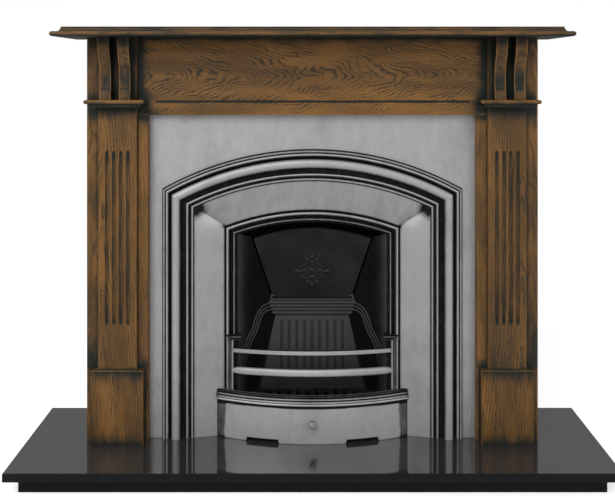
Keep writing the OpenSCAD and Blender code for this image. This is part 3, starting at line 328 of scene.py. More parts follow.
def carved_board(node, x, z, depth, recess, wear, grain, finish="Oak, upright", keep=None):
    """A board as a height field: its face at the given depths over a grid of x and z, and its
    sides straight back to one flat back. grain is where the board lay in the tree, across and
    along. keep leaves cells out, to cut the board's outline."""
    skin = Skin(*grain)
    front = skin.dots(facing(x, depth, z), recess, wear)
    rear = skin.dots(facing(x, corners(node)[1][1], z), recess=0.25)
    cells = front.ravel()[lattice(*x.shape)]
    if keep is not None:
        cells = cells[keep.ravel()]
    edges = cells[:, [[0, 1], [1, 2], [2, 3], [3, 0]]].reshape(-1, 2)
    size = skin.count + 1
    rim = edges[~np.isin(edges[:, 0] * size + edges[:, 1], edges[:, 1] * size + edges[:, 0])]
    step = rear.ravel()[0] - front.ravel()[0]
    skin.quads(cells)
    skin.quads(np.stack([rim[:, 1], rim[:, 0], rim[:, 0] + step, rim[:, 1] + step], axis=1))
    make_piece(node, skin, [finish])


def moulded_slab(node, profile, finishes, slot, grain=(0.0, 0.0), edge=0, returns=0.0, **marks):
    """A slab moulded along its front and both ends: each point of the profile, given as set-in and
    height, is one rectangle, and the rectangles are joined from the bottom to the top. edge is the
    number of the moulding's finish, and returns how dark the ends are painted towards the back, as
    shade."""
    low, high = corners(node)
    set_in, height = np.array(profile, dtype=float).T
    left, right, front = low[0] + set_in, high[0] - set_in, low[1] + set_in
    back = np.full_like(set_in, high[1])
    points = facing(np.stack([left, left, right, right], axis=1),
                    np.stack([back, front, front, back], axis=1), height[:, None])
    marks = {name: np.reshape(mark, (-1, 1)) * np.ones(4) for name, mark in marks.items()}
    if returns:
        marks["recess"] = np.maximum(marks["recess"], returns * np.array([1, 0, 0, 1]))
        marks["wear"] = marks["wear"] * np.array([0, 1, 1, 0])
    skin = Skin(*grain)
    skin.grid(points, finish=edge, **marks)
    make_piece(node, skin, finishes)


# ---- Finishes ----

def arithmetic(operation, swapped=False):
    """A Python operator on values that places a Math node."""
    def work(self, other=0.0):
        return self.wires.math(operation, *((other, self) if swapped else (self, other)))
    return work


class Value:
    """What a node puts out. Adding, multiplying and so on place Math nodes."""

    def __init__(self, wires, socket):
        self.wires, self.socket = wires, socket

    __add__, __radd__ = arithmetic("ADD"), arithmetic("ADD", swapped=True)
    __sub__, __rsub__ = arithmetic("SUBTRACT"), arithmetic("SUBTRACT", swapped=True)
    __mul__, __truediv__ = arithmetic("MULTIPLY"), arithmetic("DIVIDE")
    __abs__ = arithmetic("ABSOLUTE")


class Wires:
    """Places nodes in one tree and joins them. An input is a number, a colour or a value."""

    def __init__(self, tree):
        self.tree = tree

    def fill(self, node, inputs):
        """Joins a node's inputs to values, and sets the others."""
        for name, value in inputs.items():
            socket = node.inputs[name]
            if isinstance(value, Value):
                self.tree.links.new(value.socket, socket)
            else:
                socket.default_value = (*value, 1.0) if socket.type == "RGBA" else value

    def make(self, kind, inputs=None, **settings):
        """Places a node."""
        made = self.tree.nodes.new("ShaderNode" + kind)
        for name, value in settings.items():
            setattr(made, name, value)
        self.fill(made, inputs or {})
        return made

    def node(self, kind, inputs=None, out=0, **settings):
        """Places a node and returns one of the values it puts out."""
        return Value(self, self.make(kind, inputs, **settings).outputs[out])

    def each(self, kind, inputs=None, **settings):
        """Places a node and returns all its values, by name."""
        made = self.make(kind, inputs, **settings)
        return {socket.name: Value(self, socket) for socket in made.outputs}

    def group(self, name, inputs):
        """Places a node group made before and returns its values, by name."""
        return self.each("Group", inputs, node_tree=bpy.data.node_groups[name])

    def axes(self, place):
        """The three parts of a place or a colour."""
        return self.each("SeparateXYZ", {0: place}).values()

    def math(self, operation, a, b=0.0, clamp=False):
        """One Math node's result."""
        return self.node("Math", {0: a, 1: b}, operation=operation, use_clamp=clamp)

    def most(self, a, b):
        """The higher of two values."""
        return self.math("MAXIMUM", a, b)

    def smooth(self, value, low, high, start=0.0, end=1.0):
        """Start below low, end above high, and a smooth step between."""
        inputs = {"Value": value, "From Min": low, "From Max": high, "To Min": start, "To Max": end}
        return self.node("MapRange", inputs, interpolation_type="SMOOTHSTEP")

    def noise(self, place, scale, detail=3.0, roughness=0.5):
        """Noise of so many lumps to a metre, or so many each way when scale has three numbers."""
        if isinstance(scale, tuple):
            place, scale = self.node("VectorMath", {0: place, 1: scale}, operation="MULTIPLY"), 1.0
        inputs = {"Vector": place, "Scale": scale, "Detail": detail, "Roughness": roughness}
        return self.node("TexNoise", inputs, out="Fac")

    def mix(self, factor, a, b):
        """A colour, from a at factor 0 to b at factor 1."""
        return self.node("Mix", {0: factor, 6: a, 7: b}, out=2, data_type="RGBA")

    def mark(self, name):
        """A mark that the mesh carries."""
        return self.node("Attribute", out="Fac", attribute_name=name)

    def marks(self):
        """The inputs of a group that the mesh's own marks feed."""
        return {"Antique And Shade": self.mark("recess"), "Wear And Highlight": self.mark("wear")}


def make_group(name, inputs, outputs):
    """An empty shader node group with its named sockets: its wires, the values given to it, and
    the node that takes its results."""
    tree = bpy.data.node_groups.new(name, "ShaderNodeTree")
    kinds = {"V": "NodeSocketVector", "F": "NodeSocketFloat", "C": "NodeSocketColor"}
    for direction, sockets in (("INPUT", inputs), ("OUTPUT", outputs)):
        for socket, kind in sockets.items():
            tree.interface.new_socket(name=socket, in_out=direction, socket_type=kinds[kind])
    wires = Wires(tree)
    start, end = (tree.nodes.new(kind) for kind in ("NodeGroupInput", "NodeGroupOutput"))
    return wires, {socket: Value(wires, start.outputs[socket]) for socket in inputs}, end


def oak_group():
    """Flat-sawn oak: growth rings about the tree's pith, which runs along X below the face and leans
    to it, so the rings come out as nested arches. Figure is how far the rings wander and lean. Lines
    are darkest over the pith. Fine pores run along X. The dark mark brings dark patina together with
    painted shade under and between the parts, and the light mark brings golden rubbed edges together
    with painted highlights."""
    wires, given, end = make_group("Oak grain", {
        "Vector": "V", "Ring Pitch": "F", "Figure": "F", "Antique And Shade": "F", "Wear And Highlight": "F",
        "Light": "C", "Dark": "C", "Line": "C", "Patina": "C", "Rubbed": "C",
    }, {"Color": "C", "Roughness": "F", "Height": "F"})
    place, figure = given["Vector"], given["Figure"]
    slow = wires.noise(place, (8.5, 17.0, 17.0), 1.0)
    wave = wires.noise(place, (24.0, 40.0, 40.0), 1.0)
    quick = wires.noise(place, (150.0, 240.0, 240.0), 2.0, 0.6)
    wander = slow * 0.052 + wave * 0.014
    along, across, deep = wires.axes(place)
    below = deep + 0.045
    from_pith = wires.math("SQRT", across * across + below * below)
    radius = from_pith + wander * figure
    lean = figure * figure * 0.31
    radius = radius + along * lean + quick * 0.0075
    ring = wires.math("FRACT", radius / given["Ring Pitch"])
    line = wires.smooth(ring, 0.45, 0.74) * wires.smooth(ring, 1.0, 0.90)
    patch = wires.noise(place, (9.0, 34.0, 34.0))
    line = line * wires.smooth(patch, 0.38, 0.58, 0.22, 1.0)
    pore = wires.smooth(wires.noise(place, (38.0, 900.0, 900.0), 3.0, 0.7), 0.50, 0.68)
    tone = wires.noise(place, (3.0, 16.0, 16.0), 4.0, 0.6)
    wood = wires.mix(wires.smooth(tone, 0.32, 0.68), given["Light"], given["Dark"])
    depth = (0.54 + figure * 0.34) * wires.smooth(from_pith, 0.055, 0.125, 1.05, 0.55)
    wood = wires.mix(line * depth, wood, given["Line"])
    wood = wires.mix(pore * 0.45, wood, given["Line"])
    blotch = wires.noise(place, (12.0, 42.0, 42.0), 5.0, 0.65)
    dark_share = given["Antique And Shade"] + (blotch - 0.5) * 1.1
    dark_share = wires.smooth(dark_share, 0.12, 0.85) * wires.smooth(given["Antique And Shade"], 0.0, 0.12)
    golden = given["Wear And Highlight"] * wires.smooth(blotch, 0.66, 0.40, 0.15, 0.75)
    wood = wires.mix(dark_share, wood, given["Patina"])
    wood = wires.mix(golden, wood, given["Rubbed"])
    height = line * -0.5 - pore * 0.7
    rough = wires.smooth(tone, 0.2, 0.8, 0.42, 0.52) + dark_share * 0.12
    wires.fill(end, {"Color": wood, "Roughness": rough, "Height": height})


def iron_group():
    """Polished cast iron: cloudy patches, faint streaks down the face, small casting pits, and
    blackened hollows where the dark mark is high, which also carries painted shade. The light mark
    brings the brightest polish together with painted highlights."""
    wires, given, end = make_group("Polished iron", {
        "Vector": "V", "Antique And Shade": "F", "Wear And Highlight": "F", "Iron": "C", "Bright": "C", "Black": "C",
    }, {"Color": "C", "Roughness": "F", "Metallic": "F", "Height": "F"})
    place = given["Vector"]
    cloud = wires.noise(place, (9.0, 9.0, 7.0), 5.0, 0.6)
    streak = wires.noise(place, (60.0, 60.0, 22.0), 4.0, 0.6)
    grain = wires.noise(place, 420.0, 3.0, 0.7)
    tone = cloud * 0.55 + streak * 0.45
    tone = wires.smooth(tone, 0.30, 0.72, 0.18, 0.50) + given["Wear And Highlight"] * 0.6
    metal = wires.mix(tone, given["Iron"], given["Bright"])
    metal = wires.mix(wires.smooth(cloud, 0.50, 0.25, 0.0, 0.16), metal, given["Black"])
    pit = wires.smooth(grain, 0.66, 0.78, 0.0, 0.5)
    metal = wires.mix(pit, metal, given["Black"])
    edge = given["Antique And Shade"] + (streak - 0.5) * 0.35
    black = wires.smooth(edge, 0.10, 0.92) * wires.smooth(given["Antique And Shade"], 0.0, 0.08)
    sand = wires.noise(place, (300.0, 300.0, 90.0), 3.0, 0.7)
    blacking_and_shade = wires.mix(wires.smooth(sand, 0.52, 0.74, 0.0, 0.10), given["Black"], given["Iron"])
    metal = wires.mix(black, metal, blacking_and_shade)
    rough = wires.smooth(cloud, 0.3, 0.7, 0.58, 0.50) + black * 0.3
    metallic = 0.62 - black * 0.6
    height = grain * 0.3 - pit
    wires.fill(end, {"Color": metal, "Roughness": rough, "Metallic": metallic, "Height": height})


def black_iron_group():
    """Sand-cast iron under stove black: a fine grain with paler graphite where it is rubbed and where
    a highlight is painted, and near black where the dark mark paints blacking and shade.
    """
    wires, given, end = make_group(
        "Black iron", {"Vector": "V", "Antique And Shade": "F", "Wear And Highlight": "F", "Iron": "C"},
        {"Color": "C", "Roughness": "F", "Height": "F"})
    sand = wires.noise(given["Vector"], 520.0, 4.0, 0.7)
    cloud = wires.noise(given["Vector"], 14.0, 4.0, 0.6)
    paler = wires.smooth(cloud, 0.35, 0.75, 0.0, 0.12) + given["Wear And Highlight"] * 0.8
    iron = wires.mix(paler, given["Iron"], (0.072, 0.072, 0.072))
    blacking_and_shade = wires.math("MULTIPLY", given["Antique And Shade"], 0.85, clamp=True)
    iron = wires.mix(blacking_and_shade, iron, (0.002, 0.002, 0.002))
    rough = wires.smooth(cloud, 0.3, 0.7, 0.50, 0.62)
    wires.fill(end, {"Color": iron, "Roughness": rough, "Height": sand})


def granite_group():
    """Black granite: fine crystals, a few of them paler, in a dark ground."""
    wires, given, end = make_group(
        "Granite", {"Vector": "V", "Stone": "C"}, {"Color": "C", "Roughness": "F"})
    place = given["Vector"]
    crystal = wires.node("TexVoronoi", {"Vector": place, "Scale": 420.0}, out="Color")
    value, _, _ = wires.axes(crystal)
    cloud = wires.noise(place, 60.0, 4.0, 0.6)
    stone = wires.mix(wires.smooth(value, 0.2, 1.0, 0.0, 0.35), given["Stone"], (0, 0, 0))
    stone = wires.mix(wires.smooth(cloud, 0.4, 0.8, 0.0, 0.12), stone, (0.03, 0.03, 0.031))
    wires.fill(end, {"Color": stone, "Roughness": wires.smooth(cloud, 0.2, 0.8, 0.03, 0.06)})


def new_material(name):
    """A new material's wires, its Principled shader and the place on the object."""
    material = bpy.data.materials.new(name)
    material.use_nodes = True
    shader = next(n for n in material.node_tree.nodes if n.type == "BSDF_PRINCIPLED")
    wires = Wires(material.node_tree)
    return wires, shader, wires.node("TexCoord", out="Object")


def coat(wires, shader, group, inputs, specular, strength, distance):
    """Feeds the shader from a node group, and the group's height through a Bump node."""
    results = wires.group(group, inputs)
    bump = {"Height": results.pop("Height"), "Strength": strength, "Distance": distance}
    results["Base Color"] = results.pop("Color")
    wires.fill(shader, {**results, "Normal": wires.node("Bump", bump), "Specular IOR Level": specular})


def oak(name, grain, figure, colours, sizes):
    """Stained oak with its grain running up the board ('Z') or along it ('X')."""
    wires, shader, place = new_material(name)
    x, y, z = wires.axes(place)
    heart, board = wires.mark("heart"), wires.mark("board")
    across, along = (x, z) if grain == "Z" else (z, x)
    place = wires.node("CombineXYZ", {0: along + board, 1: across - heart, 2: y})
    coat(wires, shader, "Oak grain", {
        "Vector": place, "Ring Pitch": sizes.ring_pitch * MM, "Figure": figure, **wires.marks(),
        "Light": colours.oak_light, "Dark": colours.oak_dark, "Line": colours.oak_line,
        "Patina": colours.patina, "Rubbed": colours.rubbed}, 0.18, 0.35, 0.0006)


def iron_coat(wires, shader, colours, inputs):
    """The polished iron of the mouldings, the bars and the brackets."""
    tones = {"Iron": colours.iron, "Bright": colours.iron_bright, "Black": colours.iron_black}
    coat(wires, shader, "Polished iron", {**inputs, **tones}, 0.08, 0.12, 0.0003)


def polished_iron(name, colours):
    """Polished cast iron with blackened hollows."""
    wires, shader, place = new_material(name)
    iron_coat(wires, shader, colours, {"Vector": place, **wires.marks()})


def bracket_iron(name, colours, inner, outer, top):
    """Dull iron down the bracket's strip, rubbed along both its edges, and black inward of the strip.
    Of the two slips of the cap above, the upper is grey and a black line of painted shade parts them."""
    wires, shader, place = new_material(name)
    x, _, z = wires.axes(place)
    out, half = abs(x), (outer - inner) / 2
    middle = abs(out - (inner + outer) / 2)
    rim = wires.smooth(middle, half - 0.0042, half - 0.0030)
    slip = wires.smooth(z, top + 0.0072, top + 0.0082) * wires.smooth(z, top + 0.0108, top + 0.0100)
    cap = 0.95 - slip * 0.30
    inward = wires.smooth(out, inner + 0.0085, inner + 0.0065)
    cap = wires.smooth(z, top, top + 0.001) * wires.most(
        cap * inward, cap * wires.smooth(z, top + 0.0060, top + 0.0070))
    beside = wires.smooth(out, inner, inner - 0.0008) * wires.smooth(z, top + 0.001, top)
    black = wires.most(beside, cap)
    recess = wires.most(0.76 - rim * 0.38, black)
    iron_coat(wires, shader, colours, {"Vector": place, "Antique And Shade": recess, "Wear And Highlight": 0.0})


def black_iron(name, colours):
    """Blackened cast iron."""
    wires, shader, place = new_material(name)
    inputs = {"Vector": place, **wires.marks(), "Iron": colours.fire_black}
    coat(wires, shader, "Black iron", inputs, 0.15, 0.2, 0.0004)


def fireback_iron(name, colours):
    """Blackened iron of the fireback, its marks worked out from planes: how far a point stands out of
    the cheek's plane shows the reeded band, how far it lies behind the panel's plane shows the flutes,
    and its height shows the cornice's reeds. Light and shade are painted too: the back grows lighter
    higher up, and the cheeks are painted light at their front edges and dark deeper in."""
    wires, shader, place = new_material(name)
    x, y, z = wires.axes(place)
    lift, reed_pitch, panel_slope = ORIGIN[2] * MM, 0.011, 46.4 / 202.5
    cornice = lift + 0.307
    run = (y - 0.030) * CHEEK_SLOPE
    out = (FIRE_HALF * MM - run - abs(x)) / np.hypot(1, CHEEK_SLOPE)
    cheek = wires.smooth(out, 0.0046, 0.0036)
    reed = wires.smooth(out, 0.0006, 0.0026) * cheek
    reed = reed * wires.smooth(z, lift + 0.16, lift + 0.27, 0.15, 1.0)
    back = y - 0.0811 - (z - (lift + 0.1045)) * panel_slope
    flute = wires.smooth(back, 0.0004, 0.0016) * wires.smooth(z, cornice, cornice - 0.002) * 0.50
    groove = abs(wires.math("FRACT", (z - cornice) / reed_pitch) - 0.5)
    above = wires.smooth(z, cornice - 0.004, cornice - 0.001)
    groove = wires.smooth(groove, 0.26, 0.47) * above
    groove = groove * wires.smooth(z, cornice + 0.0475, cornice + 0.0455, 0.0, 0.95)
    groove = wires.most(groove, above * wires.smooth(z, cornice + 0.0015, cornice))
    # Painted light on the cheeks' front edges, falling off deeper into the fire opening.
    front_light = wires.smooth(y, 0.076, 0.020)
    front_light = front_light * front_light * 0.62
    body = 1.0 - cheek
    # Painted light: the back grows lighter higher up.
    lit = wires.smooth(z, lift + 0.06, lift + 0.30, 0.14, 0.58) + above * 0.10
    wear = wires.most(reed * 0.75 + body * lit, cheek * front_light)
    dark = wires.most(flute * body, groove * body)
    # Painted shade: the cheeks darken deeper in, away from the reeds and the front edges.
    dim = cheek * (0.85 - (reed + front_light * 2.0))
    inputs = {
        "Vector": place, "Antique And Shade": wires.most(dark, dim), "Wear And Highlight": wear, "Iron": colours.fire_black}
    coat(wires, shader, "Black iron", inputs, 0.05, 0.2, 0.0004)


def granite(name, stone, polished):
    """Black granite, mirror polished on top or sawn along its edges."""
    wires, shader, place = new_material(name)
    results = wires.group("Granite", {"Vector": place, "Stone": stone})
    shine = {"Roughness": results["Roughness"], "IOR": 2.5}
    sawn = {"Roughness": 0.45, "Specular IOR Level": 0.1}
    wires.fill(shader, {"Base Color": results["Color"], **(shine if polished else sawn)})


def steel(name):
    """Zinc-plated steel with a faint mottle."""
    wires, shader, place = new_material(name)
    mottle = wires.noise(place, 160.0, 4.0, 0.6)
    wires.fill(shader, {
        "Base Color": wires.mix(mottle, (0.40, 0.40, 0.41), (0.58, 0.58, 0.57)),
        "Roughness": wires.smooth(mottle, 0.3, 0.7, 0.28, 0.42), "Metallic": 0.9})


def sheet_metal(name):
    """Black painted sheet with dust and rubbed patches."""
    wires, shader, place = new_material(name)
    dust = wires.noise(place, 45.0, 5.0, 0.65)
    rubbed = wires.smooth(dust, 0.45, 0.8, 0.0, 0.6)
    wires.fill(shader, {
        "Base Color": wires.mix(rubbed, (0.015, 0.015, 0.016), (0.08, 0.078, 0.074)),
        "Roughness": wires.smooth(dust, 0.3, 0.7, 0.42, 0.6)})


def refinish(finish, *nodes):
    """Gives CAD nodes whose shape is right a better material."""
    material = bpy.data.materials[finish]
    for name in nodes:
        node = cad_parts[name]
        for spot in node.material_slots:
            spot.material = material
        if not node.material_slots:
            node.data.materials.append(material)


# ---- Pieces ----

def hearth_slab():
    """The slab: a top with a small rounded edge, and sawn sides."""
    low, high = corners("hearth_slab")
    ease, foot_ease = 1.5, 0.6
    edge = arc((0, high[2] - ease), ease, 0, 90, 5) * [-1, 1] + [ease, 0]
    profile = [(foot_ease, low[2]), (0, low[2] + foot_ease), *edge, (ease + 1, high[2])]
    moulded_slab("hearth_slab", profile, ["Granite, polished", "Granite, sawn"], "granite", edge=1)


def shelf():
    """The mantel shelf: a round nose below, a cove over it and a square fillet at the top edge."""
    low, high = corners("mantel_shelf")
    bottom, r, cove, fillet, ease = low[2], 6.75, 8.8, 23.0, 0.5
    nose = arc((r, bottom + r), r, 270, 90, 13)
    hollow_edge = arc((2 * r - 0.3, bottom + 2 * r + cove), cove, -90, 0, 8)
    rest = [(fillet, hollow_edge[-1][1]), (fillet, high[2] - ease), (fillet + ease, high[2])]
    # The nose is painted darkest on its underside, as shade, and gets a painted highlight where it
    # turns up. The cove and the crease over it are darker.
    up = np.linspace(0, 1, 13)
    recess = np.concatenate([np.interp(up, [0, 0.2, 0.45, 1], [0.98, 0.88, 0.48, 0.46]),
                             np.linspace(0.66, 0.50, 8), [0.85, 0.6, 0.3]])
    wear = np.concatenate([np.interp(up, [0, 0.35, 0.6, 1], [0, 0.05, 0.25, 0]),
                           np.zeros(8), [0.0, 0.3, 0.2]])
    moulded_slab("mantel_shelf", np.concatenate([nose, hollow_edge, rest]), ["Oak, level"], "oak",
                 grain=(1.10, 3.3), recess=recess, wear=wear)


def neckings():
    """The moulding round each pilaster: a quarter-round, and a nose over it."""
    r, ovolo = 5.8, 12.0
    turn, up = np.radians(np.linspace(0, 90, 8)), np.arange(12)
    # Painted shade: dark on the quarter-round under the nose, on the nose's underside, and on the ends
    # through returns. The nose is lighter where it turns up, rubbed and with a painted highlight.
    recess = np.concatenate([np.linspace(0.98, 0.78, 7), [0.95],
                             np.interp(up, [0, 3, 8, 11], [0.85, 0.52, 0.26, 0.5])])
    wear = np.concatenate([np.zeros(8), np.interp(up, [0, 4, 8, 11], [0, 0.35, 0.9, 0.1])])
    for side, sign in SIDES:
        bottom = corners("necking_" + side)[0][2]
        under = np.stack([21 - ovolo * np.sin(turn), bottom + ovolo * (1 - np.cos(turn))], axis=1)
        nose = arc((r, bottom + ovolo + r), r, 250, 90, 12)
        moulded_slab("necking_" + side, np.concatenate([under, nose]), ["Oak, level"], "oak",
                     grain=(1.03, 6.0 - sign), returns=3.0, recess=recess, wear=wear)


def header_board(sizes):
    """The frieze: a flat board with one round-bottomed groove along it, round at both ends."""
    low, high = corners("header_board")
    half, middle, reach = sizes.groove_width / 2, low[2] + 37.5, 433.0
    spread = half * np.array([-1.6, -1, -0.8, -0.45, 0, 0.45, 0.8, 1, 1.6])
    ends = (-reach + half + spread, reach - half + spread)
    x, z = np.meshgrid(ruled(low[0], high[0], 12, *ends, ease=sizes.edge_ease),
                       ruled(low[2], high[2], 7, middle + spread, ease=sizes.edge_ease))
    off = np.hypot(np.clip(np.abs(x) - (reach - half), 0, None), z - middle)
    from_end = high[0] - np.abs(x)
    rim = least(from_end, z - low[2], high[2] - z)
    depth = low[1] + eased(rim, sizes.edge_ease) + hollow(off, half, sizes.groove_depth)
    # Patina and painted shade along the top under the shelf, patina towards the ends, and patina with
    # painted shade in the groove. The bottom edge is rubbed, and the groove's lips are lighter, rubbed
    # and with a painted highlight.
    foot = unit((middle + 40 - z) / 40)
    recess = most(0.82 * fade(high[2] - z, 17), 0.98 * fade(from_end - 8 - 12 * foot, 18 + 14 * foot),
                  unit(2.0 - off / half))
    wear = 0.8 * unit(1 - (z - low[2]) / 2.5) + 0.3 * unit(1.9 - off / half) * (off > half)
    carved_board("header_board", x, z, depth, recess, wear, (1.075, 0.0), "Oak, level")


def leg_boards(sizes):
    """The front boards of the legs, notched for the header, with patina and painted shade where the
    trims meet them, and painted shade under the necking and among the corbels under the shelf.
    """
    head = corners("header_board")[0]
    (neck_low, neck_high), (post_low, post_high), (block_low, block_high) = (
        corners(trim + "_right") for trim in ("necking", "pilaster", "plinth_block"))
    ease, near = sizes.edge_ease, np.array([0.5, 2, 4])
    for side, sign in SIDES:
        low, high = corners("leg_board_" + side)
        x = ruled(low[0], high[0], 8, [-sign * head[0]], sign * (post_low[0] - near),
                  sign * (post_high[0] + near), ease=ease)
        z = ruled(low[2], high[2], 8, head[2] + np.array([-3, -1, 0, 1, 3]), ease=ease)
        x, z = np.meshgrid(x, z)
        cell_x, cell_z = ((line[:-1, :-1] + line[1:, 1:]) / 2 for line in (x, z))
        keep = ~((np.abs(cell_x) < -head[0]) & (cell_z > head[2]))
        out = sign * x
        outer, inner = out > post_high[0], out < post_low[0]
        outside = high[0] - x if sign > 0 else x - low[0]
        rim = np.where(z > head[2] + 0.1, np.minimum(outside, high[2] - z),
                       least(x - low[0], high[0] - x, high[2] - z))
        beside = np.minimum(np.abs(out - post_low[0]), np.abs(out - post_high[0]))
        # Painted shade below the necking and among the corbels under the shelf. Patina and painted
        # shade beside the pilaster. A painted shadow beside the plinth block, and patina above it.
        among_corbels = 0.28 + 0.6 * fade(high[2] - z, 26) + 0.6 * fade(z - neck_high[2], 26)
        under_neck = np.where(z < neck_low[2], 0.95 * fade(neck_low[2] - 10 - z, 42), among_corbels)
        near_block = np.maximum(block_low[0] - out, out - block_high[0])
        above_block = 0.95 * fade(z - block_high[2], np.where(outer, 140.0, 30.0))
        haze = np.where(outer, 0.26, np.where(inner, 0.24 + 0.05 * sign, 0))
        under_header = np.where(z < head[2], 1.1 * fade(head[2] - z - 2, 22), 1)
        recess = most(
            0.95 * fade(beside, np.where(outer, 7.0, 3.2)), under_neck * (out < neck_high[0] + 4),
            np.where(z > block_high[2], above_block, 0.95 * fade(near_block - 1, 9)),
            0.6 * fade(z, 9), haze, np.where(inner, under_header, 0))
        carved_board("leg_board_" + side, x, z, low[1] + eased(rim, ease), recess,
                     0.35 * unit(1 - rim / 2.2), (sign * 0.60, sign * 2.0), keep=keep)


def pilasters(sizes):
    """The raised boards: four round-bottomed flutes that run out at their ends, cut as distance from
    each flute's line, with the distance past its end shortened."""
    neck_low, neck_high = corners("necking_right")
    half, pitch, run_out = sizes.flute_width / 2, 19.3, 2.6
    bottom, top = 326 + half * run_out, 806 - half * run_out
    spread = half * np.array([-1.25, -1, -0.9, -0.7, -0.35, 0, 0.35, 0.7, 0.9, 1, 1.25])
    for side, sign in SIDES:
        low, high = corners("pilaster_" + side)
        lines = (low[0] + high[0]) / 2 + pitch * (np.arange(4) - 1.5)
        x = ruled(low[0], high[0], 12, *(line + spread for line in lines), ease=sizes.edge_ease)
        z = ruled(low[2], high[2], 11, bottom + run_out * spread, top + run_out * spread, ease=0.8)
        x, z = np.meshgrid(x, z)
        past = np.clip(np.maximum(bottom - z, z - top), 0, None) / run_out
        off = least(*(np.hypot(x - line, past) for line in lines))
        rim = np.minimum(x - low[0], high[0] - x)
        depth = low[1] + eased(rim, sizes.edge_ease) + hollow(off, half, sizes.flute_depth)
        # The flutes are darkened with patina and painted shade, most at their ends. Painted shade
        # below the necking, and patina with painted shade above it among the corbels. Darker at the
        # foot, along the edges and towards the bottom.
        tips = np.maximum(fade(top + half - z, 25), fade(z - bottom + half, 25))
        neck = np.where(z < neck_low[2], 0.90 * fade(neck_low[2] - 8 - z, 26),
                        0.9 - 0.28 * bell(z - neck_high[2] - 70, 45))
        recess = most(
            np.where(off < half, 0.42 + 0.5 * tips, 0), 0.75 * bell(off / half - 0.80, 0.25), neck,
            0.8 * fade(z - low[2], 7), (0.42 if sign > 0 else 0.2) * fade(z - low[2], 170),
            0.45 * fade(rim, 3))
        wear = 0.6 * unit(1 - rim / 1.6) + 0.35 * unit(1 - np.abs(off / half - 1.1) / 0.15)
        grain = (sign * 0.575, sign * 0.4 + 0.7)
        carved_board("pilaster_" + side, x, z, depth, recess, wear, grain)


def plinth_blocks(sizes):
    """The blocks at the feet, rounded all round their faces."""
    ease = sizes.plinth_ease
    for side, sign in SIDES:
        low, high = corners("plinth_block_" + side)
        x = ruled(low[0], high[0], 6, ease=ease)
        z = ruled(low[2], high[2], 6, high[2] - np.array([1.0, 1.6, 2.3]), ease=ease)
        x, z = np.meshgrid(x, z)
        rim = least(x - low[0], high[0] - x, z - low[2], high[2] - z)
        recess = most(0.82 * fade(high[2] - z - 3, 34), 0.80 * fade(z - low[2] - 4, 30),
                      0.45 * fade(rim - 2.5, 5)) * (rim > 1.3)
        wear = unit((1.3 - rim) / 0.6) * (rim > 0.1)
        # The block's sides are painted dark, as shade.
        carved_board("plinth_block_" + side, x, z, low[1] + eased(rim, ease),
                     np.where(rim < 0.1, 0.95, recess), wear, (sign * 0.545, sign * 1.3 + 2.0))


def corbels(sizes):
    """The brackets under the shelf: one outline, a square foot, an S-curve and a square head, drawn
    across the bracket's width with its side edges rounded by insets of the outline."""
    ease = sizes.edge_ease
    # Across the width from either side: distance, inset, darkness, rubbing. The darkness on the sides
    # is painted shade.
    steps = [(0, ease, 1.0, 0), (0, ease * 0.6, 0.5, 0.3), (ease * 0.3, ease * 0.3, 0.0, 1),
             (ease, 0, 0, 1), (2.4, 0, 0.40, 0.1), (5.0, 0, 0.36, 0), (9, 0, 0.2, 0)]
    names = ("outer_left", "inner_left", "inner_right", "outer_right")
    for number, name in enumerate(names):
        low, high = corners("corbel_" + name)
        height = high[2] - low[2]
        curve = smooth_line([
            (26, 25), (25.5, 42), (24.5, height * 0.3), (26.5, height * 0.45), (33.5, height * 0.6),
            (44, height * 0.74), (47.5, height - 25)], 6)
        out = np.concatenate([
            [(0, 0), (29, 0), (29, 24), (28.6, 25)], curve,
            [(49.1, height - 25), (49.5, height - 24.4), (49.5, height), (0, height)]])
        loop = np.stack([high[1] - out[:, 0], low[2] + out[:, 1]], axis=1)
        stations = [(low[0] + along, *rest) for along, *rest in steps]
        stations += [(high[0] - along, *rest) for along, *rest in reversed(steps)]
        points = np.stack([
            np.column_stack([np.full(len(loop), across), inset(loop, by)])
            for across, by, _, _ in stations])
        dark, wear = (np.array(stations)[:, [column]] * np.ones(len(loop)) for column in (2, 3))
        # Painted shade with the patina: a dark crease over the foot, a line of painted shadow under
        # the head, the head darkened next to the shelf, and the whole face darkened under the shelf,
        # most in the concave waist.
        up = loop[:, 1]
        foot = 0.85 * fade(np.abs(up - low[2] - 30), 8) * (wear < 0.5)
        shadow = 0.5 * fade(np.abs(up - (high[2] - 27)), 4)
        waist = bell((up - low[2]) / height - 0.30, 0.14)
        recess = most(dark, np.maximum(foot, shadow) * (out[:, 0] < 49),
                      0.95 * fade(high[2] - up, 32), (0.44 + 0.30 * waist) * (1 - 0.7 * wear))
        skin = Skin(heart=(low[0] + high[0]) / 2 * MM, board=0.9 * number)
        skin.grid(points, recess=recess, wear=wear)
        make_piece("corbel_" + name, skin, ["Oak, upright"])


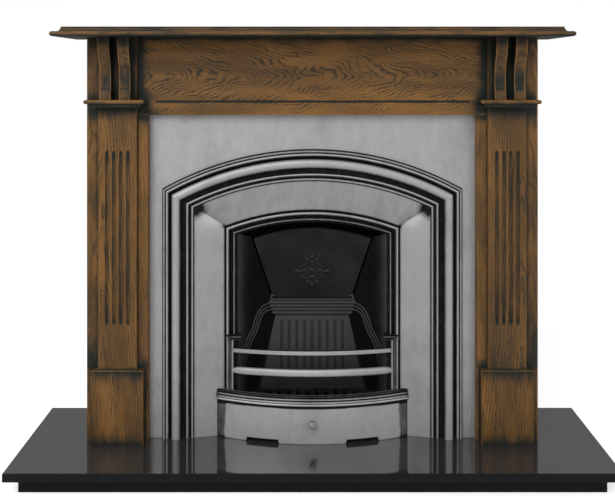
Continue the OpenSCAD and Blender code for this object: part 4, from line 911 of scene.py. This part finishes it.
def casting_profile():
    """The casting's face as rows of distance in from the arch's outer line, depth and darkness. The
    darkness is the blacking of the hollows, with painted shade on the roll's inner side and on the
    inner halves of the beads. A raised band has quarter-circle edges, a sunk one is flat, and the
    splay is a straight slope."""
    rows = [(-24, 0, 0), (-8, 0, 0.05), (-4.2, 0, 0.12), (-2.6, 0, 0.75), (-1.2, 0, 1.0), (0, 0, 1.0)]
    start = 0.0
    for number, (width, face, radius, inner, dark) in enumerate(BANDS):
        if radius:
            turn = np.radians(np.linspace(0, 90, 9 if number == ROLL_BAND else 5))
            across, depth = start + radius * (1 - np.cos(turn)), face + radius * (1 - np.sin(turn))
            across = np.concatenate([across, 2 * start + width - across[::-1]])
            # The roll is painted light on its outer side, darkening to black on its inner side:
            # painted shade and a painted dark reflection of the hollow, with its blacking.
            if number == ROLL_BAND:
                shade = np.interp(
                    (across - start) / width, [0, 0.03, 0.10, 0.30, 0.55, 0.75, 0.87, 0.95, 1],
                    [1, 0.7, 0.16, 0.14, 0.22, 0.36, 0.72, 0.9, 0.95])
            else:
                shade = np.linspace(1, dark, 5) ** 0.8
                blacking_and_shade = BEAD_BLACKING_AND_SHADE.get(number, 0.0)
                shade = np.concatenate([shade, np.maximum(shade[::-1], blacking_and_shade)])
            rows += list(zip(across, np.concatenate([depth, depth[::-1]]), shade))
        elif number == SPLAY_BAND:
            share = np.array([
                0, 0.012, 0.03, 0.06, 0.11, 0.18, 0.28, 0.4, 0.52, 0.64, 0.76, 0.86, 0.93, 0.97, 1])
            shade = np.interp(share, [0, 0.012, 0.03, 0.07, 0.93, 0.98, 1],
                              [1, 0.95, 0.6, 0.28, 0.28, 0.5, 0.95])
            rows += list(zip(start + width * share, face + (inner - face) * share, shade))
        else:
            rows += [(start, face, dark), (start + width / 2, (face + inner) / 2, dark),
                     (start + width, inner, dark)]
        start += width
    rows += [(start, CASTING_BACK, 0.9), (BACK_STEP, CASTING_BACK, 0.8), (BACK_STEP, PLATE_BACK, 0.8)]
    return np.array(rows, dtype=float)


def corner_height(half, radius):
    """Height of the corner where the arc of a radius meets the leg at a half-width."""
    return ARCH_Z + np.sqrt(radius**2 - half**2)


def front_casting():
    """The arched casting: every line of the profile lies a fixed distance inside the arch's outer
    line, up the left leg, over the arc and down the right leg. The plate's flat is one face about it.
    The splay is darker along the mitres and lighter on the legs beside them, and over the arch it is
    painted darker than on the legs, as shade."""
    distance, depth, dark = casting_profile().T
    half, radius = ARCH_HALF - distance, ARCH_R - distance
    corner = corner_height(half, radius)
    low = np.array([0, 6, 20, 50, 100, 160, 220, POCKET_TOP])
    share = np.array([0, 0.15, 0.3, 0.45, 0.6, 0.7, 0.78, 0.84, 0.89, 0.93, 0.965, 1])
    legs = np.concatenate([
        low[:, None] + 0 * corner, POCKET_TOP + share[:, None] * (corner - POCKET_TOP)])
    fine = np.array([0.006, 0.013, 0.022, 0.033])
    along = np.unique(np.concatenate([np.linspace(0, 1, 61), fine, 1 - fine]))[:, None]
    angle = np.arcsin(half / radius) * (1 - 2 * along)
    x = np.concatenate([-half + 0 * legs, -radius * np.sin(angle), half + 0 * legs])
    z = np.concatenate([legs, ARCH_Z + radius * np.cos(angle), legs[::-1]])
    pocket = np.arange(len(legs)) < len(low)
    in_pocket = np.concatenate([pocket, np.zeros(len(along), dtype=bool), pocket[::-1]])[:, None]
    sunk = in_pocket & (distance >= POCKET_IN - 0.01)
    y = np.where(sunk, np.maximum(depth, POCKET_FLOOR), depth)
    crease = np.zeros(x.shape)
    mitre = len(legs) + np.array([-1, 0, len(along) - 1, len(along)])
    crease[mitre] = 1
    ends = np.array([[ARCH_HALF - d, corner_height(ARCH_HALF - d, ARCH_R - d)]
                     for d in (SPLAY_START + 2, SPLAY_END)])
    whole = np.linalg.norm(ends[1] - ends[0])
    way = (ends[1] - ends[0]) / whole
    over = np.stack([np.abs(x) - ends[0, 0], z - ends[0, 1]], axis=-1)
    run, off = over @ way, over @ np.array([-way[1], way[0]])
    mitre_dark = 2.2 * np.exp(-np.clip(run, 0, None) / 27 - (off / 27) ** 2) + 1.3 * np.exp(
        -np.clip(whole - run, 0, None) / 9 - (off / 6) ** 2)
    on_splay = (distance > SPLAY_START) & (distance < SPLAY_END + 0.1)
    on_leg = np.abs(x) > half - 0.01
    patch = 1.4 * np.exp(-((run - 50) / 28) ** 2 - (off / 15) ** 2) + 0.5 * np.exp(
        -((run - 40) / 40) ** 2 - (off / 45) ** 2)
    # Painted shade: the splay over the arch, which faces down, is darker than on the legs.
    tone = np.maximum(mitre_dark, np.where(on_leg, 0, 0.35 + 0.22 * np.exp(-np.abs(off) / 12)))
    recess = np.where(sunk, 1.0, dark)
    recess = np.where(on_splay, np.maximum(recess, tone), recess)
    recess = np.where(on_splay & on_leg, recess - 0.25 * unit(patch), recess)
    recess = unit(np.maximum(recess, 0.38 * fade(z, 6)))
    # The roll's outer half is a little lighter: polish together with a painted highlight.
    on_roll = (distance > 26) & (distance < 33)
    wear = np.maximum(np.where(on_splay & on_leg, patch, 0), np.where(on_roll, 0.2, 0))
    skin = Skin()
    numbers = skin.grid(facing(x, y, z), round_columns=False, caps=False, recess=recess, wear=wear,
                        crease=crease)
    (x0, _, _), (x1, _, z1) = corners("front_casting")
    rect_x, rect_z = np.array([x1, x1, x0, x0]), np.array([0, z1, z1, 0])
    front = skin.dots(facing(rect_x, 0.0, rect_z))
    back = skin.dots(facing(rect_x, PLATE_BACK, rect_z), recess=0.8)
    skin.face(np.concatenate([numbers[:, 0], front]))
    skin.face(np.concatenate([numbers[:, -1], back]))
    skin.quads(np.stack([front[:-1], front[1:], back[1:], back[:-1]], axis=1))
    make_piece("front_casting", skin, ["Polished iron"], crease=32)


def fire_bars():
    """The two bowed bars: a section carried along an arc in plan, with a tongue at each end. The
    top bar is flat, and the lower one a fat superellipse that thins towards its ends."""
    end_y, bow, bar_half, ease, thick = 13.0, 25.0, 221.5, 1.2, 7.0
    radius = (bar_half**2 + bow**2) / (2 * bow)
    axis = end_y - bow + radius
    limit = np.arcsin(bar_half / radius)
    turn = np.linspace(-limit, limit, 65)[:, None]
    bottom, top = (corner[2] for corner in corners("top_bar"))
    flat = np.concatenate([
        [(-3, bottom), (3 - ease, bottom)], arc((3 - ease, bottom + ease), ease, -90, 0, 5)[1:],
        arc((3 - ease, top - ease), ease, 0, 90, 5), [(-3, top)]])
    bottom2, top2 = (corner[2] for corner in corners("lower_bar"))
    angle = np.radians(np.arange(0, 360, 10) + 5)
    across, up = (np.sign(v) * np.abs(v) ** 0.75 for v in (np.cos(angle), np.sin(angle)))
    fat = np.stack([thick * across, bottom2 + (top2 - bottom2) / 2 * (1 + up)], axis=1)
    for name, section, tongue, thin in (
            ("top_bar", flat, (bottom, top), 0.0), ("lower_bar", fat, (178.0, 190.0), 4.0)):
        out, height = section.T
        x = (radius + out) * np.sin(turn)
        y = axis - (radius + out) * np.cos(turn)
        middle = (height.max() + height.min()) / 2
        half = height.max() - middle
        squeeze = 1 - thin / half * unit((np.abs(x) - bar_half + 22) / 22) ** 2
        front = np.clip(out / out.max(), -1, 1)
        rise = (height - middle) / half
        # The lower bar is painted darkest on its underside, as shade.
        if name == "top_bar":
            recess = most(np.where(np.abs(rise) > 0.85, 0.90, 0.27), (front < 0) * 0.85, 0 * x)
        else:
            recess = most(
                np.interp(rise, [-1, -0.75, -0.35, 0.2, 0.7, 1], [0.95, 0.7, 0.12, 0.04, 0.1, 0.35]),
                (front < -0.2) * 0.8, 0.35 * unit((np.abs(x) - 150) / 70))
        skin = Skin()
        # A painted highlight across the middle of each bar's front.
        shine = 0.6 * bell(x + 10, 90) * (front > 0.2)
        skin.grid(facing(x, y, middle + (height - middle) * squeeze), recess=recess, wear=shine)
        for side in (-1, 1):
            ends = sorted((side * (bar_half - 3), side * 230.0))
            box_skin(skin, (ends[0], 10, tongue[0]), (ends[1], 16, tongue[1]), recess=0.6)
        make_piece(name, skin, ["Polished iron"], body=name)


def ashpan_cover():
    """The bowed cover: its section turned about an upright axis, each point as far round as the
    plane of the cover's ends, with the bottom edge lifted in two air notches."""
    end_x, end_y, top = corners("ashpan_cover")[1]
    half, out, apron, thick = end_x - 1.5, 40.4, top - 28, 5.5
    sag = out + end_y
    radius = (half**2 + sag**2) / (2 * sag)
    axis = radius - out
    rib = (top - apron) / 8
    plain = np.array([0.0, 2, 6, 12, 22, 36, 50, 64, 78, 91, 95, 98, 101, 103, apron])
    height, reach, shine = [plain], [np.full(len(plain), radius)], [np.full(len(plain), 0.35)]
    dark = [np.interp(plain, [0, 2, 6, 91, 95, 98, 103], [0.75, 0.25, 0.05, 0, 0.25, 1, 1])]
    rib_dark = np.array([1, 0.95, 0.5, 0.12, 0, 0.05, 0.3, 0.85, 1])
    # The reeds from the bottom up: how far each is set back, its darkness and its shine.
    reeds = ((1, 0.04, 0.7), (0, 0.25, 0.2), (3, 0.36, 0.1), (6, 0.74, 0.0))
    for number, (back, base, rub) in enumerate(reeds):
        reed = arc((radius + 7 - rib - back, apron + (2 * number + 1) * rib), rib, -90, 90, 9)
        height.append(reed[:, 1])
        reach.append(reed[:, 0])
        dark.append(unit(rib_dark + base))
        shine.append(np.full(9, rub))
    height = np.concatenate([*height, [top, top, apron / 2, 0]])
    reach = np.concatenate([*reach, [radius - 2], [radius - thick] * 3])
    dark = np.concatenate([*dark, [0.6, 0.6, 0.8, 0.8]])
    shine = np.concatenate([*shine, np.zeros(4)])
    limit = np.minimum(np.arccos((axis - end_y) / reach), np.arcsin(end_x / reach))
    edges = NOTCH_HALF - np.array([0, NOTCH_RUN, NOTCH_RUN + 0.3])
    notches = np.concatenate([side * NOTCH_X + way * edges for side in (-1, 1) for way in (-1, 1)])
    near_end = np.linspace(0.88, 1, 13)
    notches = np.arcsin(notches / radius) / np.arcsin(half / radius)
    share = np.unique(np.concatenate([np.linspace(-1, 1, 81), near_end, -near_end, notches]))
    angle = share[:, None] * limit
    x = reach * np.sin(angle)
    y = axis - reach * np.cos(angle)
    notch = NOTCH_HIGH * unit((NOTCH_HALF - np.abs(np.abs(x) - NOTCH_X)) / NOTCH_RUN)
    z = np.where(height < apron - 0.01, height + notch * (1 - height / apron), height)
    from_end = half - np.abs(x)
    border = 21 + 6 * height / apron + 1.1 * np.sin(height / 5.3) + 0.9 * np.sin(height / 2.3)
    ends = 0.52 * unit((border - from_end) / 4.5 + 0.5) + 0.22 * fade(from_end, 45)
    recess = unit(dark + np.where(height < apron, ends, 0.35 * fade(from_end, 12)))
    recess = np.maximum(recess, 0.12 * bell(np.abs(x) - 4, 1.5) * (height < 99))
    skin = Skin()
    skin.grid(facing(x, y, z), recess=recess, wear=shine)
    make_piece("ashpan_cover", skin, ["Polished iron"], body="cover")


def cover_knob():
    """The knob: a neck and a ball turned about the line of its screw."""
    low, high = corners("cover_knob")
    back, r, z = high[1], (high[0] - low[0]) / 2, (low[2] + high[2]) / 2
    ball = np.radians(np.linspace(-60, 90, 18))
    turned = np.concatenate([
        [(0.01, 0), (r * 0.65, 0), (r * 0.66, 0.7), (r * 0.5, 2), (r * 0.47, 4), (r * 0.5, 6)],
        np.stack([r * np.clip(np.cos(ball), 0.001, 1), 12 + 6 * np.sin(ball)], axis=1)])
    out, forward = turned.T
    turn = np.radians(np.arange(0, 360, 7.5))[:, None]
    # The neck is painted dark, as shade behind the ball.
    recess = np.maximum(np.interp(forward, [0, 5, 8, 12], [0.9, 0.95, 0.5, 0.0]), 0.34)
    skin = Skin()
    skin.grid(facing(out * np.cos(turn), back - forward, z + out * np.sin(turn)), round_rows=True,
              round_columns=False, caps=False, recess=recess)
    make_piece("cover_knob", skin, ["Polished iron"], body="cover")


def damper_flap(sizes):
    """The flap: a plate that widens upward under a shallow arc and leans forward from its pins. On
    it stands a common diamond of leaves about a rosette: a leaf is a dome over a pointed oval, its
    half-width a parabola along it; a ring is a torus; a bead is half a sphere."""
    lean, pin_y, pin_z, thick, side, rise = np.radians(15.75), 117.04, 363.0, 3.0, 186.0, 33.0
    middle, tall, sink, pin = 82.0, 1.25, -0.8, 5.0
    corner = corners("damper_flap")[1][0]
    widen = np.sin(lean) * CHEEK_SLOPE
    foot = corner - side * widen
    around = np.radians(np.arange(0, 360, 22.5))
    skin = Skin()

    def place(across, up, out):
        return facing(across, pin_y - out * np.cos(lean) - up * np.sin(lean),
                      pin_z - out * np.sin(lean) + up * np.cos(lean))

    def raised(across, up, out, shade, above, **closing):
        """A form of the ornament, black at its foot, painted dark under it as shade, and painted
        lighter where it faces up as a highlight. above runs from -1 to 1."""
        shade = unit(shade) ** 2
        skin.grid(place(across, middle + tall * up, thick + out), **closing,
                  recess=unit(1.0 - 1.5 * shade - 0.9 * np.minimum(above, 0)),
                  wear=shade * unit(0.24 + 0.52 * above))

    def leaf(across, up, angle, reach, width):
        angle = np.radians(angle)
        along = np.linspace(0.004, 0.996, 10)[:, None]
        half = width / 2 * (1 - (2 * along - 1) ** 2)
        over, high = half * np.cos(around), np.sin(around)
        out = np.where(high > 0, sizes.ornament_height * high, sink) * np.sqrt(half / (width / 2))
        above = np.cos(around) * np.cos(angle) + (2 * along - 1) * np.sin(angle)
        raised(across + along * reach * np.cos(angle) - over * np.sin(angle),
               up + along * reach * np.sin(angle) + over * np.cos(angle), out, high, above)

    def ring(across, up, radius, thickness):
        turn = np.radians(np.arange(0, 360, 15))[:, None]
        section = np.radians(np.arange(0, 360, 30))
        reach, high = radius + thickness * np.cos(section), np.sin(section)
        raised(across + reach * np.cos(turn), up + reach * np.sin(turn), 0.4 + thickness * high, high,
               1.2 * np.sin(turn) * (0.5 + 0.5 * np.cos(section)), round_rows=True, caps=False)

    def bead(across, up, radius, height):
        climb = np.radians([0, 0, 20, 45, 70, 89])[:, None]
        reach = radius * np.cos(climb)
        out = np.where(np.arange(6)[:, None] == 0, sink, height * np.sin(climb))
        raised(across + reach * np.cos(around), up + reach * np.sin(around), out, out / height,
               1.2 * np.sin(around) * np.cos(climb))

    crown = (corner**2 + rise**2) / (2 * rise)
    top = np.arcsin(corner / crown) * np.linspace(1, -1, 33)
    arch = np.stack([crown * np.sin(top), side + rise - crown + crown * np.cos(top)], axis=1)
    right = [(foot, -5), (foot, 8.5), (foot + 8.5 * widen, 8.5)]
    loop = np.concatenate([right, arch, [(-u, v) for u, v in reversed(right)]])
    rims = [(inset(loop, 0.6), thick), (loop, thick - 0.6), (loop, -thick)]
    skin.grid(np.stack([place(*rim.T, out) for rim, out in rims]))
    ring(0, 0, 8.0, 2.5)
    bead(0, 0, 4.2, 2.5)
    ring(0, 20, 6.4, 2.4)
    leaf(0, 27, 90, 18, 10)
    ring(0, -18.5, 6.6, 2.4)
    leaf(0, -26, -90, 18, 13)
    for way in (-1, 1):
        ring(way * 23, -1, 7.4, 2.3)
        bead(way * 23, -1, 3.0, 2.2)
        for across, up, size in (
                (17, 17.5, 5.0), (24.5, 13.5, 4.6), (32, 10, 4.0), (12.5, 10, 3.4), (12.5, -9.5, 3.4),
                (32.5, -9, 4.0), (25.5, -14, 4.6), (18, -18.5, 5.0)):
            bead(way * across, up, size, 0.6 * size)
        for across, up, angle, reach, width in (
                (30, 0, 0, 23, 16), (7, 26, 32, 15, 10), (4, -29, 18, 16, 9)):
            leaf(way * across, up, angle if way > 0 else 180 - angle, reach, width)
        ends = np.sort([way * foot, way * (foot - 12)])[:, None]
        skin.grid(place(ends, pin * np.cos(around), pin * np.sin(around)))
    make_piece("damper_flap", skin, ["Black iron"], body="damper")


# ---- Stage ----

def floor():
    """A wide pale floor under the hearth, white to the camera where nothing shades it."""
    wires, shader, _ = new_material("Pale floor")
    wires.fill(shader, {
        "Base Color": (0.80, 0.80, 0.80), "Roughness": 0.9, "Specular IOR Level": 0.0,
        "Emission Color": (1, 1, 1),
        "Emission Strength": wires.node("LightPath", out="Is Camera Ray") * 0.47})
    mesh = bpy.data.meshes.new("floor")
    x, y = np.meshgrid([-4.0, 4.0], [-4.0, 3.0])
    points = facing(x, y, 0.0).reshape(-1, 3)
    mesh.from_pydata(points.tolist(), [], lattice(2, 2)[:, ::-1].tolist())
    mesh.materials.append(bpy.data.materials["Pale floor"])
    plane = bpy.data.objects.new("floor", mesh)
    bpy.context.scene.collection.objects.link(plane)


def white_world():
    """White to the camera, a little softer low down in gloss, and a plain even light on the
    object."""
    world = bpy.data.worlds.new("White studio")
    bpy.context.scene.world = world
    world.use_nodes = True
    world.node_tree.nodes.clear()
    wires = Wires(world.node_tree)
    path = wires.each("LightPath")
    _, _, up = wires.axes(wires.node("TexCoord", out="Generated"))
    level = wires.smooth(up, 0.45, 0.85, 0.33, 1.0)
    shiny = wires.most(path["Is Glossy Ray"], path["Is Transmission Ray"])
    light, gloss, seen = (
        wires.node("Background", {"Color": (1, 1, 1), "Strength": strength})
        for strength in (0.62, level, 1.0))
    lit = wires.node("MixShader", {0: shiny, 1: light, 2: gloss})
    both = wires.node("MixShader", {0: path["Is Camera Ray"], 1: lit, 2: seen})
    wires.make("OutputWorld", {"Surface": both})


def lamps():
    """A broad soft key from the upper left and a weaker fill from the right, both aimed at the
    middle of the fireplace."""
    target, size = Vector((0, 0, 0.55)), 2.4
    for name, place, power in (("key", (-1.7, -2.9, 2.9), 105.0), ("fill", (2.6, -2.6, 1.7), 34.0)):
        light = bpy.data.lights.new(name, "AREA")
        light.shape, light.size, light.energy = "SQUARE", size, power
        lamp = bpy.data.objects.new(name, light)
        lamp.location = place
        lamp.rotation_euler = (target - lamp.location).to_track_quat("-Z", "Y").to_euler()
        bpy.context.scene.collection.objects.link(lamp)


def camera():
    """A level camera straight in front, its frame shifted down to the hearth."""
    lens = bpy.data.cameras.new("camera")
    lens.lens, lens.sensor_width, lens.shift_y = 44.49, 36.0, -0.288
    view = bpy.data.objects.new("camera", lens)
    view.location = (-0.0135, -2.1211, 1.0846)
    view.rotation_euler = (np.pi / 2, 0, 0)
    bpy.context.scene.collection.objects.link(view)
    bpy.context.scene.camera = view


# ---- Operators ----

class FIREPLACE_OT_stage(Operator):
    """Makes the camera, the lamps, the white world and the floor"""
    bl_idname = "fireplace.stage"
    bl_label = "Stage"

    def execute(self, context):
        context.scene.view_settings.view_transform = "Standard"
        camera()
        lamps()
        white_world()
        floor()
        return {"FINISHED"}


class FIREPLACE_OT_finishes(Operator):
    """Makes the oak, iron, granite and steel finishes, and gives them to the plain CAD pieces"""
    bl_idname = "fireplace.finishes"
    bl_label = "Finishes"

    def execute(self, context):
        colours, sizes = context.scene.fireplace_colours, context.scene.fireplace_sizes
        for group in (oak_group, iron_group, black_iron_group, granite_group):
            group()
        oak("Oak, upright", "Z", 0.45, colours, sizes)
        oak("Oak, level", "X", 1.0, colours, sizes)
        polished_iron("Polished iron", colours)
        _, (side, _, top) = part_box("bar_bracket_right")
        bracket_iron("Bracket iron", colours, side - 0.019, side - 0.001, top - 0.0113)
        black_iron("Black iron", colours)
        fireback_iron("Fireback iron", colours)
        granite("Granite, polished", colours.granite, True)
        granite("Granite, sawn", colours.granite_edge, False)
        steel("Plated steel")
        sheet_metal("Black sheet")
        refinish("Granite, sawn", "hearth_front_riser", "hearth_side_risers", "hearth_back_riser")
        refinish("Oak, upright", "leg_side_left", "leg_side_right", "leg_batten_left",
                 "leg_batten_right")
        refinish("Oak, level", "header_batten")
        refinish("Plated steel", "shelf_screws", "wall_plates", "wall_plate_screws", "bracket_bolts",
                 "fireback_bolts", "hood_bolts", "flap_pins", "knob_screw")
        refinish("Bracket iron", "bar_bracket_left", "bar_bracket_right")
        refinish("Fireback iron", "fireback")
        refinish("Black iron", "smoke_hood", "flue_spigot", "bottom_grate")
        refinish("Black sheet", "ash_pan")
        return {"FINISHED"}


class FIREPLACE_OT_hearth(Operator):
    """Makes the polished hearth slab"""
    bl_idname = "fireplace.hearth"
    bl_label = "Hearth"

    def execute(self, context):
        hearth_slab()
        return {"FINISHED"}


class FIREPLACE_OT_shelf(Operator):
    """Makes the mantel shelf and the neckings"""
    bl_idname = "fireplace.shelf"
    bl_label = "Shelf and neckings"

    def execute(self, context):
        shelf()
        neckings()
        return {"FINISHED"}


class FIREPLACE_OT_boards(Operator):
    """Makes the frieze, the leg boards, the pilasters and the plinth blocks"""
    bl_idname = "fireplace.boards"
    bl_label = "Boards"

    def execute(self, context):
        for boards in (header_board, leg_boards, pilasters, plinth_blocks):
            boards(context.scene.fireplace_sizes)
        return {"FINISHED"}


class FIREPLACE_OT_corbels(Operator):
    """Makes the four corbels under the shelf"""
    bl_idname = "fireplace.corbels"
    bl_label = "Corbels"

    def execute(self, context):
        corbels(context.scene.fireplace_sizes)
        return {"FINISHED"}


class FIREPLACE_OT_casting(Operator):
    """Makes the arched front casting"""
    bl_idname = "fireplace.casting"
    bl_label = "Front casting"

    def execute(self, context):
        front_casting()
        return {"FINISHED"}


class FIREPLACE_OT_bars(Operator):
    """Makes the two fire bars"""
    bl_idname = "fireplace.bars"
    bl_label = "Fire bars"

    def execute(self, context):
        fire_bars()
        return {"FINISHED"}


class FIREPLACE_OT_cover(Operator):
    """Makes the ash pan cover and its knob"""
    bl_idname = "fireplace.cover"
    bl_label = "Ash pan cover"

    def execute(self, context):
        ashpan_cover()
        cover_knob()
        return {"FINISHED"}


class FIREPLACE_OT_flap(Operator):
    """Makes the damper flap with its ornament"""
    bl_idname = "fireplace.flap"
    bl_label = "Damper flap"

    def execute(self, context):
        damper_flap(context.scene.fireplace_sizes)
        return {"FINISHED"}


OPERATORS = (
    FIREPLACE_OT_stage, FIREPLACE_OT_finishes, FIREPLACE_OT_hearth, FIREPLACE_OT_shelf,
    FIREPLACE_OT_boards, FIREPLACE_OT_corbels, FIREPLACE_OT_casting, FIREPLACE_OT_bars,
    FIREPLACE_OT_cover, FIREPLACE_OT_flap)


class FIREPLACE_PT_panel(Panel):
    """Lists the fireplace's settings and the steps that make it"""
    bl_idname = "FIREPLACE_PT_panel"
    bl_label = "Arched Iron Fireplace"
    bl_space_type = "VIEW_3D"
    bl_region_type = "UI"
    bl_category = "Fireplace"

    def draw(self, context):
        for operator in OPERATORS:
            self.layout.operator(operator.bl_idname)
        for settings in (context.scene.fireplace_sizes, context.scene.fireplace_colours):
            for name in settings.__annotations__:
                self.layout.prop(settings, name)


CLASSES = (FIREPLACE_PG_sizes, FIREPLACE_PG_colours, *OPERATORS, FIREPLACE_PT_panel)


def register():
    for made in CLASSES:
        bpy.utils.register_class(made)
    bpy.types.Scene.fireplace_sizes = PointerProperty(type=FIREPLACE_PG_sizes)
    bpy.types.Scene.fireplace_colours = PointerProperty(type=FIREPLACE_PG_colours)


def unregister():
    del bpy.types.Scene.fireplace_sizes
    del bpy.types.Scene.fireplace_colours
    for made in reversed(CLASSES):
        bpy.utils.unregister_class(made)


def main():
    """Builds the whole fireplace."""
    register()
    for operator in OPERATORS:
        getattr(bpy.ops.fireplace, operator.bl_idname.split(".")[1])()


if __name__ == "__main__":
    main()
